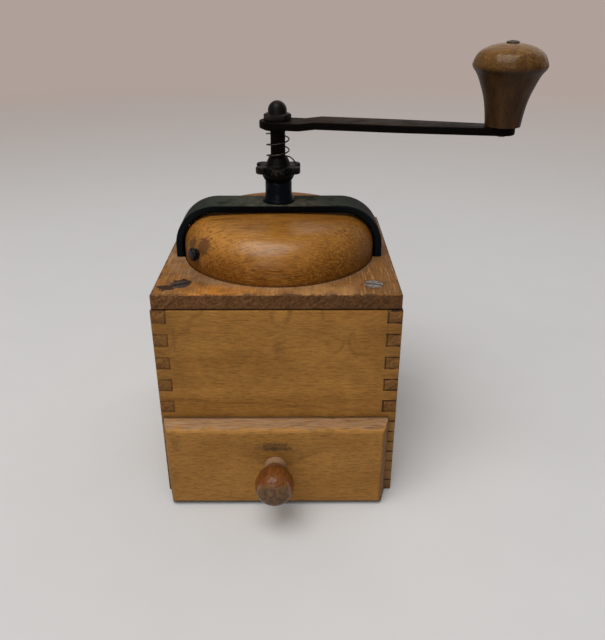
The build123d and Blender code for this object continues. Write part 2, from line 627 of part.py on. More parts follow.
with BuildPart() as shield_screws:
    with BuildSketch(Plane.XY.offset(DOME_BASE + SHIELD_THICK)):
        with Locations(*TAB_PLACES):
            Circle(SHIELD_SCREW_HEAD_RADIUS)
    extrude(amount=SHIELD_SCREW_HEAD_HEIGHT)
    with BuildSketch(Plane.XY.offset(DOME_BASE + SHIELD_THICK)):
        with Locations(*TAB_PLACES):
            Circle(SHIELD_SCREW_RADIUS)
    extrude(amount=-SHIELD_SCREW_LENGTH)
shield_screws.part.label = "shield_screws"
export_step(shield_screws.part, "parts/shield_screws.step")

# Hollow turned dome, its filling mouth at the back
KNOB_TURN = math.radians(DOME_KNOB_ANGLE)
KNOB_RADIAL = (math.cos(KNOB_TURN), math.sin(KNOB_TURN), 0)
KNOB_RING = DOME_RADIUS - DOME_KNOB_SINK
KNOB_FOOT = (KNOB_RING * KNOB_RADIAL[0], KNOB_RING * KNOB_RADIAL[1], DOME_BASE + DOME_KNOB_RISE)
KNOB_SEAT = Plane(origin=KNOB_FOOT, x_dir=(0, 0, 1), z_dir=KNOB_RADIAL)
with BuildPart() as hopper_dome:
    with BuildSketch(Plane.XZ) as dome_half:
        with BuildLine():
            edge_z = DOME_TOP - DOME_CROWN
            Polyline((0, DOME_TOP), (0, DOME_BASE), (DOME_RADIUS, DOME_BASE), (DOME_RADIUS, edge_z))
            TangentArc((0, DOME_TOP), (DOME_RADIUS, edge_z), tangent=(1, 0))
        make_face()
        fillet(dome_half.vertices().sort_by_distance((DOME_RADIUS, edge_z, 0))[0], DOME_CORNER)
        fillet(dome_half.vertices().sort_by_distance((DOME_RADIUS, DOME_BASE, 0))[0], DOME_FOOT_ROUND)
    revolve(axis=Axis.Z)
    with BuildSketch(Plane.XZ) as hollow_half:
        with BuildLine():
            ceiling = DOME_TOP - DOME_TOP_THICK
            Polyline((0, ceiling), (0, DOME_BASE), (DOME_INNER, DOME_BASE), (DOME_INNER, ceiling),
                     close=True)
        make_face()
        fillet(hollow_half.vertices().sort_by_distance((DOME_INNER, ceiling, 0))[0], DOME_CORNER - DOME_WALL)
    revolve(axis=Axis.Z, mode=Mode.SUBTRACT)
    with Locations((0, 0, DOME_TOP)):
        Hole(DOME_HOLE_RADIUS)
    with BuildSketch(Plane.XZ):
        with Locations((0, DOME_BASE + FILL_SILL + FILL_HEIGHT / 2)):
            RectangleRounded(FILL_WIDTH, FILL_HEIGHT, FILL_ROUND)
    extrude(amount=-2 * DOME_RADIUS, mode=Mode.SUBTRACT)
    with BuildSketch(KNOB_SEAT):
        Circle(DOME_KNOB_NECK_RADIUS + PRESS_FIT)
    extrude(amount=2 * DOME_KNOB_SINK, mode=Mode.SUBTRACT)
    with BuildSketch(KNOB_SEAT):
        Circle(DOME_KNOB_SHANK_RADIUS + PRESS_FIT)
    extrude(amount=-DOME_KNOB_SHANK, mode=Mode.SUBTRACT)
hopper_dome.part.label = "hopper_dome"
export_step(hopper_dome.part, "parts/hopper_dome.step")

# Small turning knob, its shank pressed into the dome
with BuildPart() as dome_knob:
    with BuildSketch(KNOB_SEAT):
        Circle(DOME_KNOB_SHANK_RADIUS)
    extrude(amount=-DOME_KNOB_SHANK)
    with BuildSketch(KNOB_SEAT.offset(DOME_KNOB_NECK)):
        Circle(DOME_KNOB_RADIUS)
    extrude(amount=DOME_KNOB_REACH - DOME_KNOB_NECK)
    fillet(dome_knob.edges().filter_by(GeomType.CIRCLE).group_by(SortBy.RADIUS)[-1], DOME_KNOB_ROUND)
    with BuildSketch(KNOB_SEAT):
        Circle(DOME_KNOB_NECK_RADIUS)
    extrude(amount=DOME_KNOB_REACH / 2)
dome_knob.part.label = "dome_knob"
export_step(dome_knob.part, "parts/dome_knob.step")

# Spindle: journal, burr seat and collar, long shaft, shoulder, square tenon, threaded end
with BuildPart() as spindle:
    with BuildSketch(Plane.XZ):
        with BuildLine():
            Polyline((0, BAR_BOTTOM - SPINDLE_FOOT), (JOURNAL_RADIUS, BAR_BOTTOM - SPINDLE_FOOT),
                     (JOURNAL_RADIUS, BURR_BOTTOM), (SPINDLE_RADIUS, BURR_BOTTOM),
                     (SPINDLE_RADIUS, CONE_TOP), (COLLAR_RADIUS, CONE_TOP),
                     (COLLAR_RADIUS, CONE_TOP + COLLAR_HEIGHT),
                     (SPINDLE_RADIUS, CONE_TOP + COLLAR_HEIGHT), (SPINDLE_RADIUS, SHOULDER_BASE))
            TangentArc((SPINDLE_RADIUS, SHOULDER_BASE), (SHOULDER_RADIUS, HUB_BASE - WIRE), tangent=(0, 1))
            Polyline((SHOULDER_RADIUS, HUB_BASE - WIRE), (SHOULDER_RADIUS, HUB_BASE), (0, HUB_BASE),
                     (0, BAR_BOTTOM - SPINDLE_FOOT))
        make_face()
    revolve(axis=Axis.Z)
    with BuildSketch(Plane.XY.offset(HUB_BASE).rotated((0, 0, ARM_ANGLE))):
        Rectangle(TENON_SIDE, TENON_SIDE)
    extrude(amount=ARM_THICK)
    with BuildSketch(Plane.XY.offset(HUB_TOP)):
        Circle(THREAD_END_RADIUS)
    extrude(amount=THREAD_END_LENGTH)
spindle.part.label = "spindle"
export_step(spindle.part, "parts/spindle.step")

# Adjusting nut: a waisted hub with six rounded lobes
with BuildPart() as adjusting_nut:
    with BuildSketch(Plane.XY.offset(NUT_BASE + LOBE_RISE)):
        Circle(LOBE_REACH - LOBE_RADIUS)
        with PolarLocations(LOBE_REACH - LOBE_RADIUS, LOBE_COUNT, LOBE_TURN):
            Circle(LOBE_RADIUS)
    extrude(amount=LOBE_THICK)
    fillet(adjusting_nut.faces().filter_by(Axis.Z).edges(), LOBE_ROUND)
    with BuildSketch(Plane.XZ):
        with BuildLine():
            Polyline((0, NUT_BASE), (NUT_FOOT_RADIUS, NUT_BASE), (NUT_HUB_RADIUS, NUT_BASE + NUT_HUB_RISE),
                     (NUT_HUB_RADIUS, NUT_BASE + LOBE_RISE),
                     (NUT_CONE_RADIUS, NUT_BASE + LOBE_RISE + LOBE_THICK),
                     (NUT_TOP_RADIUS, NUT_TOP), (0, NUT_TOP), close=True)
        make_face()
    revolve(axis=Axis.Z)
    with Locations((0, 0, NUT_TOP)):
        Hole(BORE_RADIUS)
adjusting_nut.part.label = "adjusting_nut"
export_step(adjusting_nut.part, "parts/adjusting_nut.step")

# Lock spring: a tail over the nut's lobes, then open turns up to the shoulder
COIL_BASE = NUT_TOP - COIL_LIFT


def coil_point(quarter):
    """Point of the coil after a number of quarter turns."""
    turn = math.radians(COIL_START_ANGLE + 90 * quarter)
    height = COIL_BASE + COIL_PITCH * quarter / 4
    return Vector(COIL_RADIUS * math.cos(turn), COIL_RADIUS * math.sin(turn), height)


def coil_direction(quarter):
    """Unit tangent of the coil after a number of quarter turns."""
    turn = math.radians(COIL_START_ANGLE + 90 * quarter)
    climb = COIL_PITCH / (2 * math.pi)
    return Vector(-COIL_RADIUS * math.sin(turn), COIL_RADIUS * math.cos(turn), climb).normalized()


def biarc(start, start_way, end, end_way):
    """Two arcs from start to end that keep both directions and meet smoothly."""
    chord = end - start
    lean = chord.dot(start_way + end_way)
    turn = 2 * (1 - start_way.dot(end_way))
    reach = (math.sqrt(lean * lean + turn * chord.dot(chord)) - lean) / turn
    middle = (start + end + (start_way - end_way) * reach) * 0.5
    TangentArc(start, middle, tangent=start_way)
    TangentArc(middle, end, tangent=(end - end_way * reach - start - start_way * reach).normalized())


def self_gap(path, turn_length, samples):
    """Least distance between the wire's surface and itself, a half turn or more apart along the path."""
    points = [path.position_at(index / samples) for index in range(samples + 1)]
    apart = math.ceil(samples * turn_length / 2 / path.length)
    gaps = [(first - second).length
            for index, first in enumerate(points)
            for second in points[index + apart:]]
    return min(gaps) - WIRE


with BuildPart() as lock_spring:
    with BuildLine() as coil:
        tail_way = coil_direction(0)
        tail_end = coil_point(0) - Vector(tail_way.X * TAIL_LENGTH, tail_way.Y * TAIL_LENGTH, TAIL_DROP)
        tail_out = (coil_point(0) - tail_end).normalized()
        bend = coil_point(0) - tail_out * (2 * WIRE)
        Line(tail_end, bend)
        biarc(bend, tail_out, coil_point(1), coil_direction(1))
        for quarter in range(1, COIL_QUARTERS):
            biarc(coil_point(quarter), coil_direction(quarter),
                  coil_point(quarter + 1), coil_direction(quarter + 1))
    coil_path = coil.wire()
    with BuildSketch(Plane(origin=coil_path @ 0, z_dir=coil_path % 0)):
        Circle(WIRE / 2)
    sweep(path=coil_path)
lock_spring.part.label = "lock_spring"
export_step(lock_spring.part, "parts/lock_spring.step")
least_gap = self_gap(coil_path, 2 * math.pi * COIL_RADIUS, 400)
print("lock spring: least gap to itself", round(least_gap, 2), "mm")
print("lock spring: volume", round(lock_spring.part.volume, 3),
      "section times length", round(math.pi * WIRE ** 2 / 4 * coil_path.length, 3))

# Crank arm: a flat blade with a small kink beside its hub
ARM_PLANE = Plane.XY.rotated((0, 0, ARM_ANGLE))
ARM_SIDE = Plane.XZ.rotated((0, 0, ARM_ANGLE))


def runs_along_blade(edge):
    """True for a long edge of the blade that is neither upright nor across it."""
    way = edge.tangent_at(0.5)
    return abs(way.Z) < 0.5 and edge.length > ARM_THICK and abs(way.dot(ARM_SIDE.z_dir)) < 0.99


with BuildPart() as crank_arm:
    with BuildSketch(ARM_PLANE.offset(HUB_BASE)):
        with BuildLine():
            Polyline((0, HUB_RADIUS), (ARM_MID, ARM_MID_HALF), (ARM_REACH, ARM_END_RADIUS))
            ThreePointArc((ARM_REACH, ARM_END_RADIUS), (ARM_REACH + ARM_END_RADIUS, 0),
                          (ARM_REACH, -ARM_END_RADIUS))
            Polyline((ARM_REACH, -ARM_END_RADIUS), (ARM_MID, -ARM_MID_HALF), (0, -HUB_RADIUS))
            ThreePointArc((0, -HUB_RADIUS), (-HUB_RADIUS, 0), (0, HUB_RADIUS))
        make_face()
    extrude(amount=ARM_THICK + KINK_RISE)
    with BuildSketch(ARM_SIDE):
        with BuildLine():
            far = ARM_REACH + 2 * ARM_END_RADIUS
            near = -2 * HUB_RADIUS
            Polyline((near, HUB_BASE), (KINK_START, HUB_BASE), (KINK_END, HUB_BASE + KINK_RISE),
                     (far, HUB_BASE + KINK_RISE), (far, ARM_TOP), (KINK_END, ARM_TOP), (KINK_START, HUB_TOP),
                     (near, HUB_TOP), close=True)
        make_face()
    extrude(amount=2 * HUB_RADIUS, both=True, mode=Mode.INTERSECT)
    fillet(crank_arm.edges().filter_by(runs_along_blade), ARM_ROUND)
    with BuildSketch(ARM_PLANE.offset(HUB_BASE)):
        Rectangle(TENON_SIDE + 2 * PRESS_FIT, TENON_SIDE + 2 * PRESS_FIT)
        with Locations((ARM_REACH, 0)):
            Circle(PIN_RADIUS + PRESS_FIT)
    extrude(amount=ARM_THICK + KINK_RISE, mode=Mode.SUBTRACT)
crank_arm.part.label = "crank_arm"
export_step(crank_arm.part, "parts/crank_arm.step")

# Acorn nut on the spindle's threaded end
with BuildPart() as cap_nut:
    with BuildSketch(Plane.XY.offset(HUB_TOP)):
        RegularPolygon(CAP_FLATS / 2, 6, major_radius=False)
    extrude(amount=CAP_HEX_HEIGHT)
    with BuildSketch(Plane.XZ):
        with BuildLine():
            corner = CAP_FLATS / math.sqrt(3)
            shoulder_z = HUB_TOP + CAP_HEX_HEIGHT
            Polyline((0, HUB_TOP), (corner - CAP_CHAMFER, HUB_TOP), (corner, HUB_TOP + CAP_CHAMFER / 2),
                     (corner, shoulder_z - CAP_CHAMFER / 2), (corner - CAP_CHAMFER, shoulder_z),
                     (0, shoulder_z), close=True)
        make_face()
    revolve(axis=Axis.Z, mode=Mode.INTERSECT)
    with BuildSketch(Plane.XZ):
        with BuildLine():
            dome_z = HUB_TOP + CAP_HEIGHT - CAP_DOME_RADIUS
            Polyline((0, HUB_TOP + CAP_HEIGHT), (0, HUB_TOP), (CAP_DOME_RADIUS, HUB_TOP),
                     (CAP_DOME_RADIUS, dome_z))
            TangentArc((CAP_DOME_RADIUS, dome_z), (0, HUB_TOP + CAP_HEIGHT), tangent=(0, 1))
        make_face()
    revolve(axis=Axis.Z)
    with BuildSketch(Plane.XY.offset(HUB_TOP)):
        Circle(THREAD_END_RADIUS + PRESS_FIT)
    extrude(amount=THREAD_END_LENGTH + SEAT_GAP, mode=Mode.SUBTRACT)
cap_nut.part.label = "cap_nut"
export_step(cap_nut.part, "parts/cap_nut.step")

# Turned crank knob: slim stem, sharp swelling rim, domed top
KNOB_PLANE = Plane(origin=(KNOB_X, KNOB_Y, KNOB_BASE), x_dir=(1, 0, 0), z_dir=(0, -1, 0))
KNOB_AXIS = Axis((KNOB_X, KNOB_Y, KNOB_BASE), (0, 0, 1))
with BuildPart() as crank_knob:
    with BuildSketch(KNOB_PLANE):
        with BuildLine():
            bore = PIN_RADIUS + RUN_FIT
            edge_radius = KNOB_RIM_RADIUS - KNOB_EDGE_DEPTH
            stem = Spline((KNOB_BASE_RADIUS, 0), (KNOB_WAIST_RADIUS, KNOB_WAIST_RISE),
                          (KNOB_FLARE_RADIUS, KNOB_FLARE_RISE), (edge_radius, KNOB_RIM_RISE - KNOB_EDGE),
                          tangents=((KNOB_STEM_LEAN, 1), (1, 1)))
            crown = Spline(stem @ 1, (KNOB_RIM_RADIUS, KNOB_RIM_RISE),
                           (KNOB_SHOULDER_RADIUS, KNOB_SHOULDER_RISE), (KNOB_TOP_RADIUS, KNOB_HEIGHT),
                           tangents=((KNOB_EDGE_LEAN, 1), (-1, KNOB_TOP_FALL)))
            Polyline(crown @ 1, (bore, KNOB_HEIGHT), (bore, 0), (KNOB_BASE_RADIUS, 0))
        make_face()
    revolve(axis=KNOB_AXIS)
crank_knob.part.label = "crank_knob"
export_step(crank_knob.part, "parts/crank_knob.step")

# Pin through the knob, riveted under the arm
with BuildPart() as knob_pin:
    with BuildSketch(KNOB_PLANE):
        with BuildLine():
            under = -TURN_GAP - ARM_THICK
            head_z = KNOB_HEIGHT + SEAT_GAP
            Polyline((0, under - PEEN_HEIGHT), (PEEN_RADIUS / 2, under - PEEN_HEIGHT), (PEEN_RADIUS, under),
                     (PIN_RADIUS, under), (PIN_RADIUS, head_z), (PIN_HEAD_RADIUS, head_z),
                     (PIN_HEAD_RADIUS, head_z + PIN_HEAD_EDGE))
            TangentArc((0, head_z + PIN_HEAD_HEIGHT), (PIN_HEAD_RADIUS, head_z + PIN_HEAD_EDGE),
                       tangent=(1, 0))
            Line((0, head_z + PIN_HEAD_HEIGHT), (0, under - PEEN_HEIGHT))
        make_face()
    revolve(axis=KNOB_AXIS)
knob_pin.part.label = "knob_pin"
export_step(knob_pin.part, "parts/knob_pin.step")

# Drawer front: a thick board over the opening, its ends bevelled
FRONT_TOP = OPENING_TOP + DRAWER_OVERLAP
PULL_FOOT = (PULL_OFFSET, DRAWER_FACE, PULL_Z)
PULL_PLANE = Plane(origin=PULL_FOOT, x_dir=(1, 0, 0), z_dir=(0, 0, -1))
PULL_AXIS = Axis(PULL_FOOT, (0, -1, 0))
PULL_SEAT = Plane(origin=(PULL_OFFSET, DRAWER_FRONT_BACK, PULL_Z), x_dir=(1, 0, 0), z_dir=(0, 1, 0))
with BuildPart() as drawer_front:
    with BuildSketch(Plane.XY.offset(DRAWER_FRONT_LIFT)):
        with BuildLine():
            wide = HALF - DRAWER_FRONT_INSET
            left = DRAWER_FRONT_SHIFT - wide
            right = DRAWER_FRONT_SHIFT + wide
            Polyline((left, DRAWER_FRONT_BACK), (right, DRAWER_FRONT_BACK),
                     (right - DRAWER_BEVEL, DRAWER_FACE), (left + DRAWER_BEVEL, DRAWER_FACE), close=True)
        make_face()
    extrude(amount=FRONT_TOP - DRAWER_FRONT_LIFT)
    fillet(drawer_front.faces().sort_by(Axis.Y)[0].edges(), DRAWER_ROUND)
    with Locations((0, DRAWER_FRONT_BACK - DRAWER_GROOVE / 2, GROOVE_BOTTOM + DRAWER_BOTTOM_THICK / 2)):
        Box(2 * (DRAWER_HALF - DRAWER_SIDE_THICK + DRAWER_GROOVE), DRAWER_GROOVE, DRAWER_BOTTOM_THICK,
            mode=Mode.SUBTRACT)
    with Locations(PULL_SEAT):
        CounterSinkHole(PULL_SCREW_RADIUS + PRESS_FIT, PULL_SCREW_HEAD_RADIUS + PRESS_FIT,
                        2 * DRAWER_FRONT_THICK)
drawer_front.part.label = "drawer_front"
export_step(drawer_front.part, "parts/drawer_front.step")

SIDE_HEIGHT = DRAWER_TOP - DRAWER_FLOOR
SIDE_MIDDLE = (DRAWER_FRONT_BACK + DRAWER_END) / 2


def grooved_side(side):
    """Cuts the bottom's groove into a drawer side of the part being built."""
    board = side * (DRAWER_HALF - DRAWER_SIDE_THICK / 2)
    with Locations((board, SIDE_MIDDLE, DRAWER_FLOOR + SIDE_HEIGHT / 2)):
        Box(DRAWER_SIDE_THICK, DRAWER_DEPTH, SIDE_HEIGHT)
    inner_face = side * (DRAWER_HALF - DRAWER_SIDE_THICK + DRAWER_GROOVE / 2)
    with Locations((inner_face, SIDE_MIDDLE, GROOVE_BOTTOM + DRAWER_BOTTOM_THICK / 2)):
        Box(DRAWER_GROOVE, DRAWER_DEPTH, DRAWER_BOTTOM_THICK, mode=Mode.SUBTRACT)


with BuildPart() as drawer_left_side:
    grooved_side(-1)
drawer_left_side.part.label = "drawer_left_side"
export_step(drawer_left_side.part, "parts/drawer_left_side.step")

with BuildPart() as drawer_right_side:
    grooved_side(1)
drawer_right_side.part.label = "drawer_right_side"
export_step(drawer_right_side.part, "parts/drawer_right_side.step")

# The back stands on the bottom, between the sides
BOTTOM_TOP = GROOVE_BOTTOM + DRAWER_BOTTOM_THICK
with BuildPart() as drawer_back:
    with Locations((0, DRAWER_END - DRAWER_BACK_THICK / 2, (BOTTOM_TOP + DRAWER_TOP) / 2)):
        Box(2 * (DRAWER_HALF - DRAWER_SIDE_THICK), DRAWER_BACK_THICK, DRAWER_TOP - BOTTOM_TOP)
drawer_back.part.label = "drawer_back"
export_step(drawer_back.part, "parts/drawer_back.step")

with BuildPart() as drawer_bottom:
    with Locations((0, SIDE_MIDDLE - DRAWER_GROOVE / 2, GROOVE_BOTTOM + DRAWER_BOTTOM_THICK / 2)):
        Box(2 * (DRAWER_HALF - DRAWER_SIDE_THICK + DRAWER_GROOVE), DRAWER_DEPTH + DRAWER_GROOVE,
            DRAWER_BOTTOM_THICK)
drawer_bottom.part.label = "drawer_bottom"
export_step(drawer_bottom.part, "parts/drawer_bottom.step")

# Turned drawer knob, screwed on from inside
with BuildPart() as drawer_knob:
    with BuildSketch(PULL_PLANE):
        with BuildLine():
            grip = PULL_SCREW_RADIUS + PRESS_FIT
            crown = TangentArc((0, PULL_LENGTH), (PULL_END_RADIUS, PULL_LENGTH - PULL_END_DROP),
                               tangent=(1, 0))
            Spline((PULL_NECK_RADIUS, 0), (PULL_WAIST_RADIUS, PULL_WAIST_RISE),
                   (PULL_RADIUS, PULL_SWELL_RISE), crown @ 1, tangents=((PULL_NECK_LEAN, 1), -(crown % 1)))
            Polyline((0, PULL_LENGTH), (0, PULL_SCREW_GRIP), (grip, PULL_SCREW_GRIP), (grip, 0),
                     (PULL_NECK_RADIUS, 0))
        make_face()
    revolve(axis=PULL_AXIS)
drawer_knob.part.label = "drawer_knob"
export_step(drawer_knob.part, "parts/drawer_knob.step")

with BuildPart() as drawer_knob_screw:
    with BuildSketch(PULL_PLANE):
        with BuildLine():
            head_y = -DRAWER_FRONT_THICK
            Polyline((0, head_y), (PULL_SCREW_HEAD_RADIUS, head_y),
                     (PULL_SCREW_RADIUS, head_y + PULL_SCREW_HEAD_RADIUS - PULL_SCREW_RADIUS),
                     (PULL_SCREW_RADIUS, PULL_SCREW_GRIP - SEAT_GAP),
                     (0, PULL_SCREW_GRIP - SEAT_GAP), close=True)
        make_face()
    revolve(axis=PULL_AXIS)
drawer_knob_screw.part.label = "drawer_knob_screw"
export_step(drawer_knob_screw.part, "parts/drawer_knob_screw.step")
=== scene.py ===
"""Looks of the wooden box coffee mill: beech case, turned dome, iron bridge, crank and drawer."""

import json
import math

import bpy
import numpy as np
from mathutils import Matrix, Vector

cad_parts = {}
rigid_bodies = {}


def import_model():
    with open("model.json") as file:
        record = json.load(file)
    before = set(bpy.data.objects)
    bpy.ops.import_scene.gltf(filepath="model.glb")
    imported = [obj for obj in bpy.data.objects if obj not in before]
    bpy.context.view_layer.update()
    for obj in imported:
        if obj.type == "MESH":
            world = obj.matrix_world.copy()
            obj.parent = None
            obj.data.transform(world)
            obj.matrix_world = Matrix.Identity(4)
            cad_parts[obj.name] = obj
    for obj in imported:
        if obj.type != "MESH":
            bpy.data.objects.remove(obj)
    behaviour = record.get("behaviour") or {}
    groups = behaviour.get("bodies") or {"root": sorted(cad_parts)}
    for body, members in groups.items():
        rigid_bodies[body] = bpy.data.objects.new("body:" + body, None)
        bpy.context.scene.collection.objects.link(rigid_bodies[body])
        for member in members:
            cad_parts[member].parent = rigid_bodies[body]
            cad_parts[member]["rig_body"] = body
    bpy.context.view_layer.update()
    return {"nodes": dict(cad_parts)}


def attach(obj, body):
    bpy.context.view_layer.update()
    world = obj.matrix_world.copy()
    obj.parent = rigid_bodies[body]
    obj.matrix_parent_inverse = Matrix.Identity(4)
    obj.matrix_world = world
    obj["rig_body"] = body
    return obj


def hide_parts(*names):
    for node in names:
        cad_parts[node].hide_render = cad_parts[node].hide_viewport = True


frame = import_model()

# CASE BOARDS
# Four beech boards, finger-jointed and glued at the corners, oiled and varnished once, now dry and
# rubbed. Their fibres run level, so each finger that ends at a corner shows darker end grain.


def add(tree, kind, inputs=None, **settings):
    """Adds a node, sets its properties, and fills or links its inputs by name or number."""
    node = tree.nodes.new(kind)
    for key, value in settings.items():
        setattr(node, key, value)
    for key, value in (inputs or {}).items():
        if isinstance(value, bpy.types.NodeSocket):
            tree.links.new(value, node.inputs[key])
        else:
            node.inputs[key].default_value = value
    return node


def made(tree, kind, inputs=None, **settings):
    """The first output of a node added in the same way."""
    return add(tree, kind, inputs, **settings).outputs[0]


class Finish:
    """A surface finish being mixed from nodes; places are metres in the piece's own space."""

    def __init__(self, name):
        self.material = bpy.data.materials.new(name)
        self.material.use_nodes = True
        self.tree = self.material.node_tree
        self.shader = self.tree.nodes["Principled BSDF"]
        coordinates = add(self.tree, "ShaderNodeTexCoord")
        self.place = coordinates.outputs["Object"]
        self.x, self.y, self.z = add(self.tree, "ShaderNodeSeparateXYZ", {0: self.place}).outputs
        normal = coordinates.outputs["Normal"]
        self.facing = add(self.tree, "ShaderNodeSeparateXYZ", {0: normal}).outputs
        self.colour = None

    def scaled(self, scale, shift=(0, 0, 0), turn=(0, 0, 0)):
        """The place in cells, with its own number of cells per metre along each axis."""
        place = self.place
        if any(turn):
            place = made(self.tree, "ShaderNodeMapping", {0: place, "Rotation": turn})
        return made(self.tree, "ShaderNodeMapping", {0: place, "Scale": scale, "Location": shift})

    def noise(self, scale, detail=3.0, shift=(0, 0, 0), rough=0.5, turn=(0, 0, 0)):
        """Cloudy 0..1 noise; one number as scale serves all three axes."""
        scale = scale if isinstance(scale, tuple) else (scale,) * 3
        place = self.scaled(scale, shift, turn)
        return made(self.tree, "ShaderNodeTexNoise",
                    {"Vector": place, "Scale": 1.0, "Detail": detail, "Roughness": rough})

    def cells(self, scale, shift=(0, 0, 0)):
        """Distance to the nearest of scattered points, in cells."""
        place = self.scaled(scale, shift)
        return made(self.tree, "ShaderNodeTexVoronoi", {"Vector": place, "Scale": 1.0})

    def ramp(self, value, low, high, start=0.0, end=1.0):
        """Value carried from low..high to start..end, held outside."""
        return made(self.tree, "ShaderNodeMapRange", {0: value, 1: low, 2: high, 3: start, 4: end})

    def calc(self, operation, first, second=0.0):
        """One sum of two numbers or outputs."""
        return made(self.tree, "ShaderNodeMath", {0: first, 1: second}, operation=operation)

    def times(self, *factors):
        """Product of outputs and numbers."""
        product = factors[0]
        for factor in factors[1:]:
            product = self.calc("MULTIPLY", product, factor)
        return product

    def apart(self, value, middle):
        """Distance of a value from a middle."""
        return self.calc("ABSOLUTE", self.calc("SUBTRACT", value, middle))

    def radius(self):
        """Distance from the mill's upright axis."""
        squares = [self.calc("MULTIPLY", side, side) for side in (self.x, self.y)]
        return self.calc("SQRT", self.calc("ADD", *squares))

    def mix(self, share, first, second, way="MIX"):
        """Second colour laid over the first by share."""
        colours = [(*c, 1.0) if isinstance(c, tuple) else c for c in (first, second)]
        return add(self.tree, "ShaderNodeMix", {0: share, 6: colours[0], 7: colours[1]},
                   data_type="RGBA", blend_type=way).outputs[2]

    def lay(self, tone, *shares):
        """Lays a tone over the colour so far, by the product of shares and masks."""
        self.colour = self.mix(self.times(*shares), self.colour, tone)

    def shade(self, colour, value, low, high):
        """Colour made darker or lighter by a 0..1 value."""
        grey = self.ramp(value, 0.0, 1.0, low, high)
        tint = made(self.tree, "ShaderNodeCombineColor", {0: grey, 1: grey, 2: grey})
        return self.mix(1.0, colour, tint, "MULTIPLY")

    def patch(self, centre, size, ragged, cells, full=0.85):
        """1 in a ragged ellipsoid about a place, from the share full of its size inward; 0 outside."""
        inverse = [1 / s for s in size]
        place = self.scaled(inverse, [-c * i for c, i in zip(centre, inverse)])
        reach = add(self.tree, "ShaderNodeVectorMath", {0: place}, operation="LENGTH").outputs["Value"]
        wobble = self.ramp(self.noise(cells, 3.0), 0.3, 0.7, -ragged, ragged)
        return self.ramp(self.calc("ADD", reach, wobble), 1.05, full)

    def attribute(self, name):
        """A number stored on the mesh."""
        return add(self.tree, "ShaderNodeAttribute", attribute_name=name).outputs["Fac"]

    def done(self, roughness, height=None, depth=0.0, **others):
        """Connects the colour so far, the roughness and a relief; others go on the shader's own sockets."""
        for socket, value in (("Base Color", self.colour), ("Roughness", roughness)):
            self.tree.links.new(value, self.shader.inputs[socket])
        if height is not None:
            bump = made(self.tree, "ShaderNodeBump", {"Strength": 1.0, "Distance": depth, "Height": height})
            self.tree.links.new(bump, self.shader.inputs["Normal"])
        for label, value in others.items():
            socket = self.shader.inputs[label.replace("_", " ")]
            if isinstance(value, bpy.types.NodeSocket):
                self.tree.links.new(value, socket)
            else:
                socket.default_value = value
        return self.material


def beech(name, grain, pale, deep, end, shift=0.0, gloss=0.45, coat=0.0, marks=None, fleck=0.3,
          polish=0.22):
    """Varnished beech with fibres along one axis; faces across the fibres show end grain.
    Marks may replace wood.varnish, the weight of the clear coat."""
    wood = Finish(name)
    wood.varnish = coat

    def cells(along, across):
        return tuple(along if axis == grain else across for axis in "XYZ")

    lift = (shift, shift * 1.7, shift * 0.6)
    growth = wood.ramp(wood.noise(cells(6, 70), 3.0, lift, 0.5), 0.3, 0.7)
    mottle = wood.ramp(wood.noise(45, 5.0, lift, 0.6), 0.3, 0.7)
    fibre = wood.ramp(wood.noise(cells(60, 1500), 3.0, lift, 0.6), 0.28, 0.72)
    dashes = wood.ramp(wood.noise(cells(190, 3000), 1.0, lift), 0.58, 0.68)
    tone = wood.calc("ADD", wood.times(growth, 0.4), wood.times(mottle, 0.6))
    wood.colour = wood.shade(wood.mix(tone, deep, pale), fibre, 0.90, 1.09)
    flecked = wood.ramp(wood.noise(cells(420, 900), 4.0, lift, 0.7), 0.32, 0.68)
    wood.colour = wood.shade(wood.colour, flecked, 0.86, 1.13)
    wood.lay(tuple(c * 0.4 for c in deep), dashes, fleck)

    wood.ends = wood.ramp(wood.calc("ABSOLUTE", wood.facing["XYZ".index(grain)]), 0.7, 0.9)
    lean = tuple(0.6 if axis == grain else 0.0 for axis in "XYZ")
    ring_cells = (700 if grain == "Z" else 130, 130, 700)
    rings = wood.ramp(wood.noise(ring_cells, 5.0, lift, 0.65, lean), 0.32, 0.68)
    speck = wood.ramp(wood.noise(800, 4.0, lift, 0.7), 0.35, 0.65)
    end_colour = wood.mix(rings, tuple(c * 0.64 for c in end), tuple(c * 1.38 for c in end))
    wood.lay(wood.shade(end_colour, speck, 0.60, 1.40), wood.ends)
    if marks:
        marks(wood)

    relief = wood.calc("SUBTRACT", wood.times(fibre, 0.4), dashes)
    rough = wood.ramp(fibre, 0.0, 1.0, gloss + 0.1, gloss - 0.05)
    roughness = wood.calc("ADD", rough, wood.times(wood.ends, 0.15))
    return wood.done(roughness, relief, 0.0001, Specular_IOR_Level=0.09, Coat_Weight=wood.varnish,
                     Coat_Roughness=polish)


def riding(mesh, name, node, finish=None):
    """Puts the mesh in place of a CAD node, on that node's body."""
    piece = bpy.data.objects.new(name, mesh)
    mesh.name = name
    bpy.context.scene.collection.objects.link(piece)
    if finish:
        mesh.materials.append(finish)
    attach(piece, frame["nodes"][node]["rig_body"])
    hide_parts(node)


FLAT_ANGLE = math.radians(0.3)
SHARP_ANGLE = math.radians(32.0)


